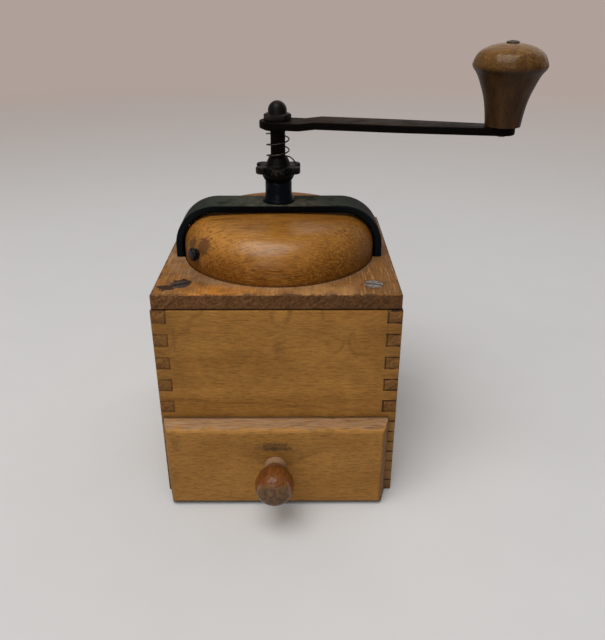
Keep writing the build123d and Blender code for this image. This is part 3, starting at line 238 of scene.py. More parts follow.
def eased(name, node, ease, finish):
    """Makes a merged copy of a CAD node with its sharp edges eased.
    The eased faces carry 1 in the attribute 'edge', where paint wears off."""
    work = bpy.data.objects.new(name + "_work", frame["nodes"][node].data.copy())
    bpy.context.scene.collection.objects.link(work)
    work.data.shade_smooth()
    work.data.materials.clear()
    work.data.materials.append(None)
    work.data.materials.append(None)
    work.modifiers.new("merge", "WELD").merge_threshold = 1e-6
    flat = work.modifiers.new("flat", "DECIMATE")
    flat.decimate_type = "DISSOLVE"
    flat.angle_limit = FLAT_ANGLE
    round_off = work.modifiers.new("ease", "BEVEL")
    round_off.width = ease
    round_off.segments = 2
    round_off.limit_method = "ANGLE"
    round_off.angle_limit = SHARP_ANGLE
    round_off.material = 1
    round_off.harden_normals = True
    mesh = bpy.data.meshes.new_from_object(work.evaluated_get(bpy.context.evaluated_depsgraph_get()))
    bpy.data.objects.remove(work)
    parts = np.zeros(len(mesh.polygons), np.int32)
    mesh.polygons.foreach_get("material_index", parts)
    mesh.attributes.new("edge", "FLOAT", "FACE").data.foreach_set("value", parts.astype(np.float32))
    mesh.polygons.foreach_set("material_index", np.zeros_like(parts))
    mesh.materials.clear()
    riding(mesh, name, node, finish)


CASE_PALE = (0.350, 0.166, 0.038)
CASE_DEEP = (0.205, 0.088, 0.018)
CASE_END = (0.180, 0.083, 0.024)
CASE_GRIME_AND_SHADE = (0.045, 0.022, 0.010)
JOINT_LINE_AND_SHADE = (0.022, 0.010, 0.005)
CASE_TOP = 0.103
FINGERS = 17
INNER_HALF = 0.0505
DRAWER_OPENING = 0.0424


def joint_dirt(wood):
    """Handled corners, bare ends beside the drawer, a grimy foot, and dark glue lines round the
    fingers, with painted shade making them deepest on the right."""
    inward = wood.calc("MINIMUM", wood.calc("ABSOLUTE", wood.x), wood.calc("ABSOLUTE", wood.y))
    handled = wood.ramp(inward, 0.038, 0.056)
    wood.lay((0.10, 0.045, 0.014), 0.28, handled)
    beside = wood.times(wood.ends, wood.ramp(wood.z, DRAWER_OPENING, DRAWER_OPENING - 0.0004))
    wood.lay((0.27, 0.145, 0.055), 0.6, beside)
    wood.lay(CASE_GRIME_AND_SHADE, wood.ramp(wood.z, 0.008, 0.0, 0.0, 0.4))
    rung = wood.calc("PINGPONG", wood.calc("SUBTRACT", CASE_TOP, wood.z), CASE_TOP / FINGERS / 2)
    in_joint = wood.ramp(inward, INNER_HALF - 0.0004, INNER_HALF)
    level_line = wood.times(wood.ramp(rung, 0.00055, 0.00028), in_joint)
    end_line = wood.times(wood.ramp(wood.apart(inward, INNER_HALF + 0.0002), 0.0006, 0.0004), wood.ends)
    broken = wood.ramp(wood.noise(240, 3.0), 0.3, 0.55, 0.3, 1.0)
    # Painted shade: the joint lines are darkened more on the right, the side away from the lamp.
    side = wood.ramp(wood.x, -0.01, 0.01, 0.5, 0.95)
    wood.lay(JOINT_LINE_AND_SHADE, wood.calc("MAXIMUM", level_line, end_line), broken, side)


def front_marks(wood):
    """A dark streak above the drawer, small crescent dents higher up, painted shadow over the opening."""
    sway = wood.ramp(wood.noise((30, 1, 1), 2.0), 0.3, 0.7, -0.0007, 0.0007)
    fall = wood.calc("ADD", wood.ramp(wood.x, -0.05, 0.05, 0.0561, 0.0483), sway)
    broken = wood.ramp(wood.noise((40, 300, 500), 3.0), 0.3, 0.65)
    fading = wood.ramp(wood.x, 0.05, 0.005, 0.35, 1.0)
    streak = wood.times(wood.ramp(wood.apart(wood.z, fall), 0.0016, 0.0002), broken, fading)
    wood.lay((0.13, 0.052, 0.014), 0.5, streak)
    ring = wood.apart(wood.cells((62, 62, 45), (0.3, 0, 0.7)), 0.42)
    some = wood.ramp(wood.noise((55, 55, 40), 2.0, (3.1, 0, 1.4)), 0.46, 0.56)
    dent = wood.times(wood.ramp(ring, 0.06, 0.0), some, wood.ramp(wood.z, 0.074, 0.084))
    wood.lay((0.15, 0.062, 0.017), 0.6, dent)
    # Painted shadow: a dark band along the edge over the drawer opening, for the gap above the drawer.
    edge = wood.ramp(wood.z, DRAWER_OPENING + 0.0013, DRAWER_OPENING + 0.0003)
    wood.lay(CASE_GRIME_AND_SHADE, 0.8, edge)
    joint_dirt(wood)


BOARD_EASE = 0.00028
for name, node, grain, shift, marks in (("front_board", "front_panel", "X", 1.3, front_marks),
                                        ("back_board", "back_panel", "X", 7.9, joint_dirt),
                                        ("left_board", "left_side_panel", "Y", 4.2, joint_dirt),
                                        ("right_board", "right_side_panel", "Y", 11.6, joint_dirt)):
    eased(name, node, BOARD_EASE,
          beech(name + "_beech", grain, CASE_PALE, CASE_DEEP, CASE_END, shift, marks=marks))

# FLOOR BOARD AND CORNER BLOCKS
# Plain unvarnished beech inside the case: the drawer runs on the floor board, which is nailed between
# the walls, and four glued blocks in the upper corners take the plate's screws.
INNER_EASE = 0.0004


def coffee_dust(wood):
    """Ground coffee rubbed into bare wood."""
    cloud = wood.ramp(wood.noise(45, 4.0, (5, 2, 8), 0.6), 0.35, 0.70)
    grit = wood.ramp(wood.noise(1100, 3.0, (2, 4, 6), 0.6), 0.48, 0.62, 0.35, 1.0)
    wood.lay((0.07, 0.036, 0.017), 0.6, cloud, grit)


def inner_board(name, node, grain, shift):
    """Makes a plain board of the inside, with coffee in its pores."""
    bare = beech(name + "_beech", grain, (0.42, 0.25, 0.115), (0.31, 0.165, 0.066), (0.21, 0.115, 0.05),
                 shift, 0.6, marks=coffee_dust)
    eased(name, node, INNER_EASE, bare)


inner_board("floor_board", "base_board", "X", 2.2)
inner_board("glue_blocks", "corner_blocks", "Z", 3.7)

# TOP PLATE
# One thick beech board screwed on from above, fibres front to back, so its front edge is dark end
# grain. It is turned out for the dome, and carries dust, old stains and a gouge round one screw.
PLATE_TOP = 0.1107
SCREW_PLACE = 0.0448


def plate_marks(wood):
    """Pale worn front strip, dust about the dome, stains, scratches, the gouge, dirt on the top edges;
    painted shade to the right and a painted shadow line along the lower edge.
    """
    level = wood.ramp(wood.facing[2], 0.6, 0.9)
    drift = wood.ramp(wood.noise(70, 4.0, (3, 1, 2)), 0.3, 0.7, -0.006, 0.006)
    strip = wood.times(wood.ramp(wood.calc("ADD", wood.y, drift), -0.040, -0.049), level,
                       wood.ramp(wood.apart(wood.calc("ADD", wood.x, drift), 0.0), 0.044, 0.034))
    strip_colour = wood.mix(wood.ramp(wood.x, -0.025, 0.01), (0.50, 0.190, 0.032), (0.48, 0.240, 0.086))
    wood.lay(strip_colour, 0.85, strip)
    reach = wood.ramp(wood.x, -0.05, -0.01, 0.0600, 0.0530)
    ring = wood.times(wood.ramp(wood.calc("SUBTRACT", wood.radius(), reach), 0.0, -0.005), level)
    patchy = wood.ramp(wood.noise(120, 4.0, (2, 6, 1)), 0.3, 0.65, 0.2, 1.0)
    wood.lay((0.36, 0.240, 0.148), 0.75, ring, patchy)
    # Painted shade: the plate darkens toward the right, away from the lamp.
    wood.colour = wood.shade(wood.colour, wood.ramp(wood.x, -0.05, 0.05), 0.98, 0.70)
    smear = wood.times(wood.ramp(wood.noise(45, 4.0, (9, 3, 2)), 0.5, 0.68), level)
    wood.lay((0.14, 0.062, 0.024), 0.5, smear)
    grey = wood.times(wood.ramp(wood.noise(170, 5.0, (1, 8, 3), 0.65), 0.46, 0.68), level)
    wood.lay((0.11, 0.056, 0.026), 0.55, grey)
    scratch = wood.times(wood.ramp(wood.noise((1300, 45, 1), 3.0, (3, 2, 0), 0.6), 0.55, 0.68), level)
    wood.lay((0.52, 0.28, 0.115), 0.5, scratch)
    round_screw = wood.patch((-SCREW_PLACE, -0.0436, PLATE_TOP), (0.0052, 0.0046, 0.004), 0.3, 500.0)
    toward_edge = wood.patch((-0.0503, -0.0486, PLATE_TOP), (0.0050, 0.0030, 0.004), 0.45, 420.0)
    gouge = wood.calc("MAXIMUM", round_screw, toward_edge)
    wood.lay((0.022, 0.012, 0.008), 0.93, gouge)
    halo = wood.patch((SCREW_PLACE, -SCREW_PLACE, PLATE_TOP), (0.0062, 0.0056, 0.004), 0.25, 500.0)
    wood.lay((0.05, 0.026, 0.014), 0.45, halo)
    rim = wood.calc("MAXIMUM", wood.calc("ABSOLUTE", wood.x), wood.calc("ABSOLUTE", wood.y))
    nicks = wood.ramp(wood.noise(420, 3.0, (4, 4, 0)), 0.44, 0.58)
    upper = wood.ramp(wood.z, PLATE_TOP - 0.0008, PLATE_TOP - 0.0003)
    worn = wood.times(wood.ramp(rim, 0.0553, 0.0563), nicks, upper)
    wood.lay((0.06, 0.03, 0.016), 0.8, worn)
    # Painted shadow: a dark line along the plate's lower edge, where it sits on the case.
    under = wood.ramp(wood.z, CASE_TOP + 0.0012, CASE_TOP + 0.0006)
    wood.lay((0.010, 0.006, 0.004), 0.93, under)


PLATE_EASE = 0.0003
plate_beech = beech("plate_beech", "Y", (0.325, 0.141, 0.034), (0.210, 0.086, 0.020),
                    (0.120, 0.053, 0.019), 5.5, 0.5, marks=plate_marks)
eased("plate_board", "top_plate", PLATE_EASE, plate_beech)

# PLATE SCREWS
# Four slotted wood screws of plain steel, gone brown, the right pair scoured bright. They are driven
# flush into the plate's countersinks and bite into the glue blocks.


def new_tree(name, **inputs):
    """An empty node tree with named inputs of the given kinds; also its inputs and its result."""
    tree = bpy.data.node_groups.new(name, "GeometryNodeTree")
    tree.interface.new_socket("Start", in_out="INPUT", socket_type="NodeSocketGeometry")
    for label, kind in inputs.items():
        tree.interface.new_socket(label, in_out="INPUT", socket_type="NodeSocket" + kind)
    tree.interface.new_socket("Result", in_out="OUTPUT", socket_type="NodeSocketGeometry")
    return tree, tree.nodes.new("NodeGroupInput").outputs, tree.nodes.new("NodeGroupOutput").inputs[0]


def sums(tree, operation, *values):
    """One sum inside a node tree."""
    return made(tree, "ShaderNodeMath", dict(enumerate(values)), operation=operation)


def upward(tree, height):
    """A vector that points straight up by a height."""
    return made(tree, "ShaderNodeCombineXYZ", {2: height})


def joined(tree, *shapes):
    """Several shapes as one."""
    join = add(tree, "GeometryNodeJoinGeometry")
    for shape in shapes:
        tree.links.new(shape, join.inputs[0])
    return join.outputs[0]


def finished(tree, shape, result, finish, crease=0.6):
    """Smooth faces with sharp creases, instances made real, and the finish laid on."""
    smooth = made(tree, "GeometryNodeSetShadeSmooth", {0: shape, "Shade Smooth": True}, domain="FACE")
    angle = made(tree, "GeometryNodeInputMeshEdgeAngle")
    sharp = made(tree, "FunctionNodeCompare", {0: angle, 1: crease},
                 data_type="FLOAT", operation="GREATER_THAN")
    creased = made(tree, "GeometryNodeSetShadeSmooth", {0: smooth, 1: sharp, "Shade Smooth": False},
                   domain="EDGE")
    real = made(tree, "GeometryNodeRealizeInstances", {0: creased})
    coated = made(tree, "GeometryNodeSetMaterial", {0: real, "Material": finish})
    tree.links.new(coated, result)


def grown(name, start, steps, node):
    """Puts the plain mesh that trees make from a start mesh in place of a CAD node."""
    work = bpy.data.objects.new(name + "_work", start)
    bpy.context.scene.collection.objects.link(work)
    for tree, sizes in steps:
        modifier = work.modifiers.new(tree.name, "NODES")
        modifier.node_group = tree
        for item in tree.interface.items_tree:
            if item.in_out == "INPUT" and item.name in sizes:
                modifier[item.identifier] = sizes[item.name]
    mesh = bpy.data.meshes.new_from_object(work.evaluated_get(bpy.context.evaluated_depsgraph_get()))
    bpy.data.objects.remove(work)
    riding(mesh, name, node)


def spots(places, turns):
    """Loose points, each with its own turn in degrees."""
    mesh = bpy.data.meshes.new("spots")
    mesh.from_pydata(places, [], [])
    turned = mesh.attributes.new("turn", "FLOAT", "POINT").data
    turned.foreach_set("value", [math.radians(turn) for turn in turns])
    return mesh


screw_tree, given, result = new_tree(
    "slotted_screws", Head_Radius="Float", Under_Radius="Float", Head_Height="Float", Shank_Radius="Float",
    Length="Float", Slot_Width="Float", Slot_Depth="Float", Tilt="Float", Finish="Material")
head = made(screw_tree, "GeometryNodeMeshCone",
            {"Vertices": 40, "Radius Top": given["Head_Radius"], "Radius Bottom": given["Under_Radius"],
             "Depth": given["Head_Height"]})
drop = sums(screw_tree, "MULTIPLY", given["Head_Height"], -1.0)
head = made(screw_tree, "GeometryNodeTransform", {0: head, "Translation": upward(screw_tree, drop)})
slot_size = made(screw_tree, "ShaderNodeCombineXYZ",
                 {0: sums(screw_tree, "MULTIPLY", given["Head_Radius"], 3.0), 1: given["Slot_Width"],
                  2: sums(screw_tree, "MULTIPLY", given["Slot_Depth"], 2.0)})
slot_block = made(screw_tree, "GeometryNodeMeshCube", {"Size": slot_size})
head = made(screw_tree, "GeometryNodeMeshBoolean", {0: head, 1: slot_block},
            operation="DIFFERENCE", solver="EXACT")
shank = made(screw_tree, "GeometryNodeMeshCone",
             {"Vertices": 24, "Radius Top": given["Shank_Radius"],
              "Radius Bottom": sums(screw_tree, "MULTIPLY", given["Shank_Radius"], 0.6),
              "Depth": sums(screw_tree, "SUBTRACT", given["Length"], given["Head_Height"])})
tip = sums(screw_tree, "MULTIPLY", given["Length"], -1.0)
shank = made(screw_tree, "GeometryNodeTransform", {0: shank, "Translation": upward(screw_tree, tip)})
own_turn = made(screw_tree, "GeometryNodeInputNamedAttribute", {"Name": "turn"}, data_type="FLOAT")
stance = made(screw_tree, "ShaderNodeCombineXYZ", {0: given["Tilt"], 2: own_turn})
driven = made(screw_tree, "GeometryNodeInstanceOnPoints",
              {"Points": given["Start"], "Instance": joined(screw_tree, head, shank),
               "Rotation": made(screw_tree, "FunctionNodeEulerToRotation", {0: stance})})
real_screws = made(screw_tree, "GeometryNodeRealizeInstances", {0: driven})
finished(screw_tree, real_screws, result, given["Finish"], 0.5)

steel = Finish("screw_steel")
tarnish = steel.ramp(steel.noise(900, 4.0), 0.35, 0.65)
on_heads = steel.ramp(steel.apart(steel.z, PLATE_TOP), 0.0006, 0.0002)
right_pair = steel.ramp(steel.x, 0.0, 0.01)
steel.colour = steel.mix(tarnish, (0.017, 0.010, 0.006), (0.046, 0.028, 0.018))
steel.lay(steel.mix(tarnish, (0.10, 0.085, 0.07), (0.30, 0.27, 0.235)), 0.8, right_pair, on_heads)
screw_finish = steel.done(steel.ramp(tarnish, 0.0, 1.0, 0.6, 0.38), tarnish, 0.00006, Metallic=0.2)
corners = [(x, y, PLATE_TOP) for x in (-SCREW_PLACE, SCREW_PLACE) for y in (-SCREW_PLACE, SCREW_PLACE)]
grown("slotted_screws", spots(corners, (28, 112, -20, 65)),
      [(screw_tree, {"Head_Radius": 0.00425, "Under_Radius": 0.0019, "Head_Height": 0.00235,
                     "Shank_Radius": 0.0019, "Length": 0.025, "Slot_Width": 0.0011,
                     "Slot_Depth": 0.0012, "Finish": screw_finish})],
      "plate_screws")

# BURR SET
# A grey iron casting hung under the plate: funnel, toothed ring, cross bar and lower bearing.
# It is unpainted, dull and dusted with coffee; the bearings are pressed-in brass.


def iron(name, dark, bright, gloss=0.5, metal=0.75, scale=350.0, sheen=0.3):
    """Cast or turned iron with blotches of rust-brown and rubbed spots."""
    skin = Finish(name)
    blotch = skin.ramp(skin.noise(scale, 5.0, rough=0.6), 0.32, 0.68)
    fine = skin.noise(scale * 6, 2.0)
    skin.colour = skin.shade(skin.mix(blotch, dark, bright), fine, 0.75, 1.25)
    roughness = skin.ramp(blotch, 0.0, 1.0, gloss + 0.15, gloss - 0.08)
    return skin.done(roughness, fine, 0.00008, Metallic=metal, Specular_IOR_Level=sheen)


casting = iron("burr_casting", (0.05, 0.042, 0.036), (0.16, 0.15, 0.14))
CASTING_EASE = 0.00025
for name, node in (("funnel_casting", "burr_housing"), ("toothed_ring", "outer_burr"),
                   ("toothed_cone", "inner_burr"), ("cone_nut", "burr_nut"),
                   ("cross_bar", "lower_bar")):
    eased(name, node, CASTING_EASE, casting)
FOOT_BOLT = (0.0432, 0, 0.0964)
BAR_BOLT = (0, 0.02092, 0.0480)
grown("foot_bolts", spots([(-FOOT_BOLT[0], 0, FOOT_BOLT[2]), FOOT_BOLT], (20, 75)),
      [(screw_tree, {"Head_Radius": 0.0038, "Under_Radius": 0.0038, "Head_Height": 0.0026,
                     "Shank_Radius": 0.0020, "Length": 0.0120, "Slot_Width": 0.0011,
                     "Slot_Depth": 0.0012, "Tilt": math.pi, "Finish": screw_finish})],
      "foot_screws")
grown("bar_bolts", spots([(0, -BAR_BOLT[1], BAR_BOLT[2]), BAR_BOLT], (40, 10)),
      [(screw_tree, {"Head_Radius": 0.0028, "Under_Radius": 0.0028, "Head_Height": 0.0020,
                     "Shank_Radius": 0.0015, "Length": 0.0120, "Slot_Width": 0.0008,
                     "Slot_Depth": 0.0009, "Tilt": math.pi, "Finish": screw_finish})],
      "bar_screws")

brass = Finish("bush_brass")
dulled = brass.ramp(brass.noise(500, 4.0), 0.3, 0.7)
brass.colour = brass.mix(dulled, (0.30, 0.19, 0.06), (0.52, 0.36, 0.13))
brass_finish = brass.done(brass.ramp(dulled, 0.0, 1.0, 0.5, 0.28), dulled, 0.00004, Metallic=1.0)
BUSH_EASE = 0.00015
for name, node in (("lower_sleeve", "lower_bush"), ("upper_sleeve", "upper_bush")):
    eased(name, node, BUSH_EASE, brass_finish)

# TIN WALL
# A bent strip of tinplate that closes the dome's mouth from inside while the mill grinds. It is held
# to the plate by two small screws.
TIN_EASE = 0.0001
eased("tin_wall", "hopper_shield", TIN_EASE,
      iron("shield_tin", (0.32, 0.31, 0.29), (0.55, 0.54, 0.52), 0.35, 0.95, 120.0))
eased("tin_screws", "shield_screws", TIN_EASE, screw_finish)

# DOME
# A hollow beech dome turned on the lathe, varnished deep orange, fibres from side to side.
# It turns under the bridge to open its filling mouth; its little black knob is pressed in.


def arc(start, way, end, steps=10):
    """Points after start on the arc that leaves it in a direction and reaches end, and the direction
    in which it arrives."""
    way = Vector(way).normalized()
    side = Vector((-way.y, way.x))
    chord = Vector(end) - Vector(start)
    turn = 2 * math.atan2(chord.dot(side), chord.dot(way))
    radius = chord.length / (2 * math.sin(turn / 2))
    points = []
    for step in range(1, steps + 1):
        swing = turn * step / steps
        ahead = way * (radius * math.sin(swing))
        aside = side * (radius * (1 - math.cos(swing)))
        points.append(tuple(Vector(start) + ahead + aside))
    return points, way * math.cos(turn) + side * math.sin(turn)


def chain(points):
    """A mesh of edges through a row of points in millimetres."""
    mesh = bpy.data.meshes.new("chain")
    edges = [(i, i + 1) for i in range(len(points) - 1)]
    mesh.from_pydata([tuple(c / 1000 for c in point) for point in points], edges, [])
    return mesh


def outline(points):
    """The cut of a turned piece through its (radius, height) points in millimetres."""
    return chain([(radius, 0, height) for radius, height in points])


turning, given, result = new_tree("turning", Steps="Int", Place="Vector", Lean="Vector",
                                  Finish="Material")
rows = made(turning, "GeometryNodeAttributeDomainSize", {0: given["Start"]})
columns = sums(turning, "ADD", given["Steps"], 1.0)
sheet = made(turning, "GeometryNodeMeshGrid", {"Vertices X": columns, "Vertices Y": rows})
index = made(turning, "GeometryNodeInputIndex")
cut = made(turning, "GeometryNodeSampleIndex",
           {"Geometry": given["Start"], "Value": made(turning, "GeometryNodeInputPosition"),
            "Index": sums(turning, "MODULO", index, rows)}, data_type="FLOAT_VECTOR")
cut_place = add(turning, "ShaderNodeSeparateXYZ", {0: cut}).outputs
column = sums(turning, "FLOOR", sums(turning, "DIVIDE", sums(turning, "ADD", index, 0.5), rows))
angle = sums(turning, "MULTIPLY", sums(turning, "DIVIDE", column, given["Steps"]), math.tau)
spot = made(turning, "ShaderNodeCombineXYZ",
            {0: sums(turning, "MULTIPLY", cut_place["X"], sums(turning, "COSINE", angle)),
             1: sums(turning, "MULTIPLY", cut_place["X"], sums(turning, "SINE", angle)),
             2: cut_place["Z"]})
round_sheet = made(turning, "GeometryNodeSetPosition", {0: sheet, "Position": spot})
closed = made(turning, "GeometryNodeMergeByDistance", {0: round_sheet, "Distance": 1e-6})
placed = made(turning, "GeometryNodeTransform",
              {0: closed, "Translation": given["Place"], "Rotation": given["Lean"]})
finished(turning, placed, result, given["Finish"])

mouth, given, result = new_tree("mouth", Width="Float", Height="Float", Corner="Float", Reach="Float",
                                Rise="Float", Finish="Material")
frame_line = made(mouth, "GeometryNodeCurvePrimitiveQuadrilateral",
                  {"Width": given["Width"], "Height": given["Height"]})
frame_line = made(mouth, "GeometryNodeFilletCurve",
                  {0: frame_line, "Radius": given["Corner"], "Count": 6}, mode="POLY")
run = made(mouth, "GeometryNodeCurvePrimitiveLine", {"End": upward(mouth, given["Reach"])})
cutter = made(mouth, "GeometryNodeCurveToMesh",
              {"Curve": run, "Profile Curve": frame_line, "Fill Caps": True})
cutter = made(mouth, "GeometryNodeTransform",
              {0: cutter, "Translation": upward(mouth, given["Rise"]),
               "Rotation": (-math.pi / 2, 0, 0)})
opened = made(mouth, "GeometryNodeMeshBoolean", {0: given["Start"], 1: cutter},
              operation="DIFFERENCE", solver="EXACT")
finished(mouth, opened, result, given["Finish"])

DOME_COAT = 0.75
BRUISE = (-0.0352, -0.0303, 0.1238)


def dome_marks(wood):
    """Painted shade: darker toward the foot, on the right side and at the top under the strap.
    Painted light: paler on the left shoulder, and a painted highlight on the front patch that hands
    polished to a thicker coat; flecks, a bruise beside the little knob and a dark foot line."""
    # Painted shade: deeper, darker orange toward the foot, where less light falls.
    sway = wood.ramp(wood.noise(60, 3.0), 0.3, 0.7, -0.002, 0.002)
    low = wood.ramp(wood.calc("ADD", wood.z, sway), 0.1265, 0.1140)
    wood.lay((0.130, 0.038, 0.003), 0.6, low)
    # Painted light: a paler patch on the left shoulder, the side toward the lamp.
    rubbed = wood.patch((-0.026, -0.027, 0.128), (0.034, 0.026, 0.013), 0.35, 90.0, 0.1)
    wood.lay((0.43, 0.190, 0.038), 0.75, rubbed)
    # Painted shade: darker toward the right side, away from the lamp.
    wood.lay((0.085, 0.036, 0.008), wood.ramp(wood.x, 0.018, 0.048, 0.0, 0.45))
    streaks = wood.ramp(wood.noise((55, 1100, 1100), 2.0, (5, 1, 3), 0.6), 0.50, 0.62)
    wood.lay((0.085, 0.028, 0.003), 0.7, streaks)
    flecks = wood.ramp(wood.noise((190, 1500, 1500), 3.0, (2, 3, 1), 0.6), 0.50, 0.66)
    right = wood.ramp(wood.x, -0.02, 0.03, 0.45, 1.0)
    wood.lay((0.40, 0.185, 0.028), 0.65, flecks, right)
    scuffs = wood.ramp(wood.noise((120, 420, 420), 4.0, (6, 1, 9), 0.65), 0.54, 0.66)
    wood.lay((0.33, 0.165, 0.045), 0.3, scuffs, wood.ramp(wood.z, 0.124, 0.115))
    stain = wood.patch((-0.0095, -0.0265, 0.1322), (0.0062, 0.0060, 0.004), 0.5, 300.0)
    wood.lay((0.14, 0.046, 0.008), 0.4, stain)
    rim = wood.patch(BRUISE, (0.0060, 0.0060, 0.0046), 0.3, 700.0)
    wood.lay((0.16, 0.064, 0.018), 0.55, rim)
    bruise = wood.patch(BRUISE, (0.0050, 0.0050, 0.0039), 0.3, 700.0)
    wood.lay((0.095, 0.038, 0.011), 0.8, bruise)
    seat = wood.patch((-0.0418, -0.0226, 0.1222), (0.0034, 0.0034, 0.0040), 0.3, 600.0)
    wood.lay((0.045, 0.020, 0.009), 0.65, seat)
    foot = wood.ramp(wood.z, 0.1125, 0.1105)
    wood.lay((0.06, 0.022, 0.006), 0.7, foot)
    # Painted shade: darker at the very top, in the strap's shadow.
    wood.lay((0.14, 0.056, 0.012), wood.ramp(wood.z, 0.1305, 0.1325, 0.0, 0.3))
    # Painted highlight: a paler golden patch in front; the same patch also gets the thickest varnish.
    handled = wood.patch((0.0, -0.037, 0.1280), (0.036, 0.022, 0.0105), 0.2, 80.0, 0.2)
    wood.lay((0.43, 0.190, 0.028), 0.4, handled)
    wood.varnish = wood.ramp(handled, 0.0, 1.0, 0.05, DOME_COAT)
    specks = wood.ramp(wood.noise((520, 900, 900), 2.0, (1, 7, 4)), 0.67, 0.74)
    wood.lay((0.07, 0.028, 0.009), 0.7, specks)


dome_beech = beech("dome_beech", "X", (0.300, 0.118, 0.014), (0.185, 0.064, 0.006),
                   (0.170, 0.060, 0.006), 9.4, 0.42, marks=dome_marks, fleck=0.45, polish=0.27)
foot_round = arc((47.6, 108.7), (1, 0), (48.4, 109.5), 4)[0]
shoulder, shoulder_way = arc((48.4, 116.46), (0, 1), (34.07, 131.92), 16)
crown = arc((34.07, 131.92), shoulder_way, (4.4, 133.18), 10)[0]
hollow = arc((32.9, 126.0), (1, 0), (42.4, 116.5), 10)[0]
dome_line = [(42.4, 108.7), (47.6, 108.7), *foot_round, (48.4, 116.46), *shoulder, *crown,
             (4.4, 126.0), (32.9, 126.0), *hollow, (42.4, 108.7)]
grown("turned_dome", outline(dome_line),
      [(turning, {"Steps": 144, "Finish": dome_beech}),
       (mouth, {"Width": 0.040, "Height": 0.014, "Corner": 0.004, "Reach": 0.097, "Rise": 0.1200,
                "Finish": dome_beech})],
      "hopper_dome")

ebony = Finish("knob_black")
rubbed = ebony.ramp(ebony.noise(600, 4.0), 0.4, 0.7)
ebony.colour = ebony.mix(rubbed, (0.004, 0.0028, 0.0026), (0.014, 0.009, 0.008))
ebony_finish = ebony.done(ebony.ramp(rubbed, 0.0, 1.0, 0.3, 0.5), rubbed, 0.00005,
                          Specular_IOR_Level=0.12)
edge_back = arc((2.2, 1.2), (1, 0), (3.3, 2.3), 5)[0]
edge_front = arc((3.3, 2.5), (0, 1), (2.2, 3.6), 5)[0]
SEAT_TURN = math.radians(216.5)
SEAT_REACH = 0.0480
SEAT_HEIGHT = 0.1197
seat_place = (SEAT_REACH * math.cos(SEAT_TURN), SEAT_REACH * math.sin(SEAT_TURN), SEAT_HEIGHT)
grown("turning_knob", outline([(0, -4.5), (1.8, -4.5), (1.8, 0), (2.5, 0), (2.5, 1.0), (2.2, 1.2),
                               *edge_back, (3.3, 2.5), *edge_front, (0, 3.6)]),
      [(turning, {"Steps": 40, "Place": seat_place, "Lean": (0, math.pi / 2, SEAT_TURN),
                  "Finish": ebony_finish})], "dome_knob")

# BRIDGE
# A flat iron strap bent over the dome with its feet let into the plate, and a bored boss riveted in
# its middle. It is painted blue-black; the paint is rubbed to a dull olive where hands rest on top.


def paint(name, coat, rubbed, bare, spread, gloss=0.5, marks=None, sheen=0.03):
    """Old black paint on iron, rubbed dull on its upper faces and worn to the metal on its edges."""
    skin = Finish(name)
    blotch = skin.ramp(skin.noise(140, 5.0, rough=0.6), 0.35, 0.65)
    fine = skin.noise(1400, 3.0)
    skin.top = skin.ramp(skin.facing[2], 0.55, 0.95)
    rub = skin.times(skin.top, skin.ramp(blotch, 1.0 - spread, 1.6 - spread))
    chips = skin.ramp(skin.noise(500, 3.0), 0.5, 0.62)
    skin.colour = skin.mix(rub, coat, rubbed)
    skin.lay(bare, 0.6, skin.attribute("edge"), chips)
    if marks:
        marks(skin)
    skin.colour = skin.shade(skin.colour, fine, 0.6, 1.4)
    roughness = skin.calc("ADD", skin.ramp(rub, 0.0, 1.0, gloss, gloss + 0.15),
                          skin.ramp(fine, 0.3, 0.7, -0.06, 0.06))
    return skin.done(roughness, fine, 0.0001, Specular_IOR_Level=sheen)


def strap_wear(skin):
    """Tan wear beside the boss, darker paint toward the ends."""
    off = skin.calc("ABSOLUTE", skin.x)
    blotch = skin.ramp(skin.noise(260, 4.0), 0.45, 0.62)
    skin.lay((0.105, 0.080, 0.050), 0.6, skin.ramp(off, 0.024, 0.012), blotch, skin.top)
    skin.lay((0.006, 0.008, 0.009), 0.6, skin.ramp(off, 0.026, 0.044))


IRON_EASE = 0.0003
eased("bridge_iron", "bridge_strap", IRON_EASE,
      paint("strap_paint", (0.0010, 0.0014, 0.0019), (0.034, 0.040, 0.029), (0.035, 0.033, 0.026),
            1.12, 0.5, strap_wear))
eased("boss_iron", "bridge_boss", IRON_EASE,
      paint("boss_paint", (0.0008, 0.0022, 0.0042), (0.006, 0.014, 0.022), (0.008, 0.014, 0.019),
            0.6, 0.22, sheen=0.05))

# SPINDLE
# Turned steel shaft, oily and almost black. It runs in the bridge's bush and the lower bearing, and
# carries the toothed cone at its foot and the crank on top.
SHAFT_EASE = 0.0002
eased("steel_spindle", "spindle", SHAFT_EASE,
      iron("spindle_steel", (0.0012, 0.0010, 0.0008), (0.004, 0.0033, 0.0027), 0.5, 0.05, 500.0, 0.02))

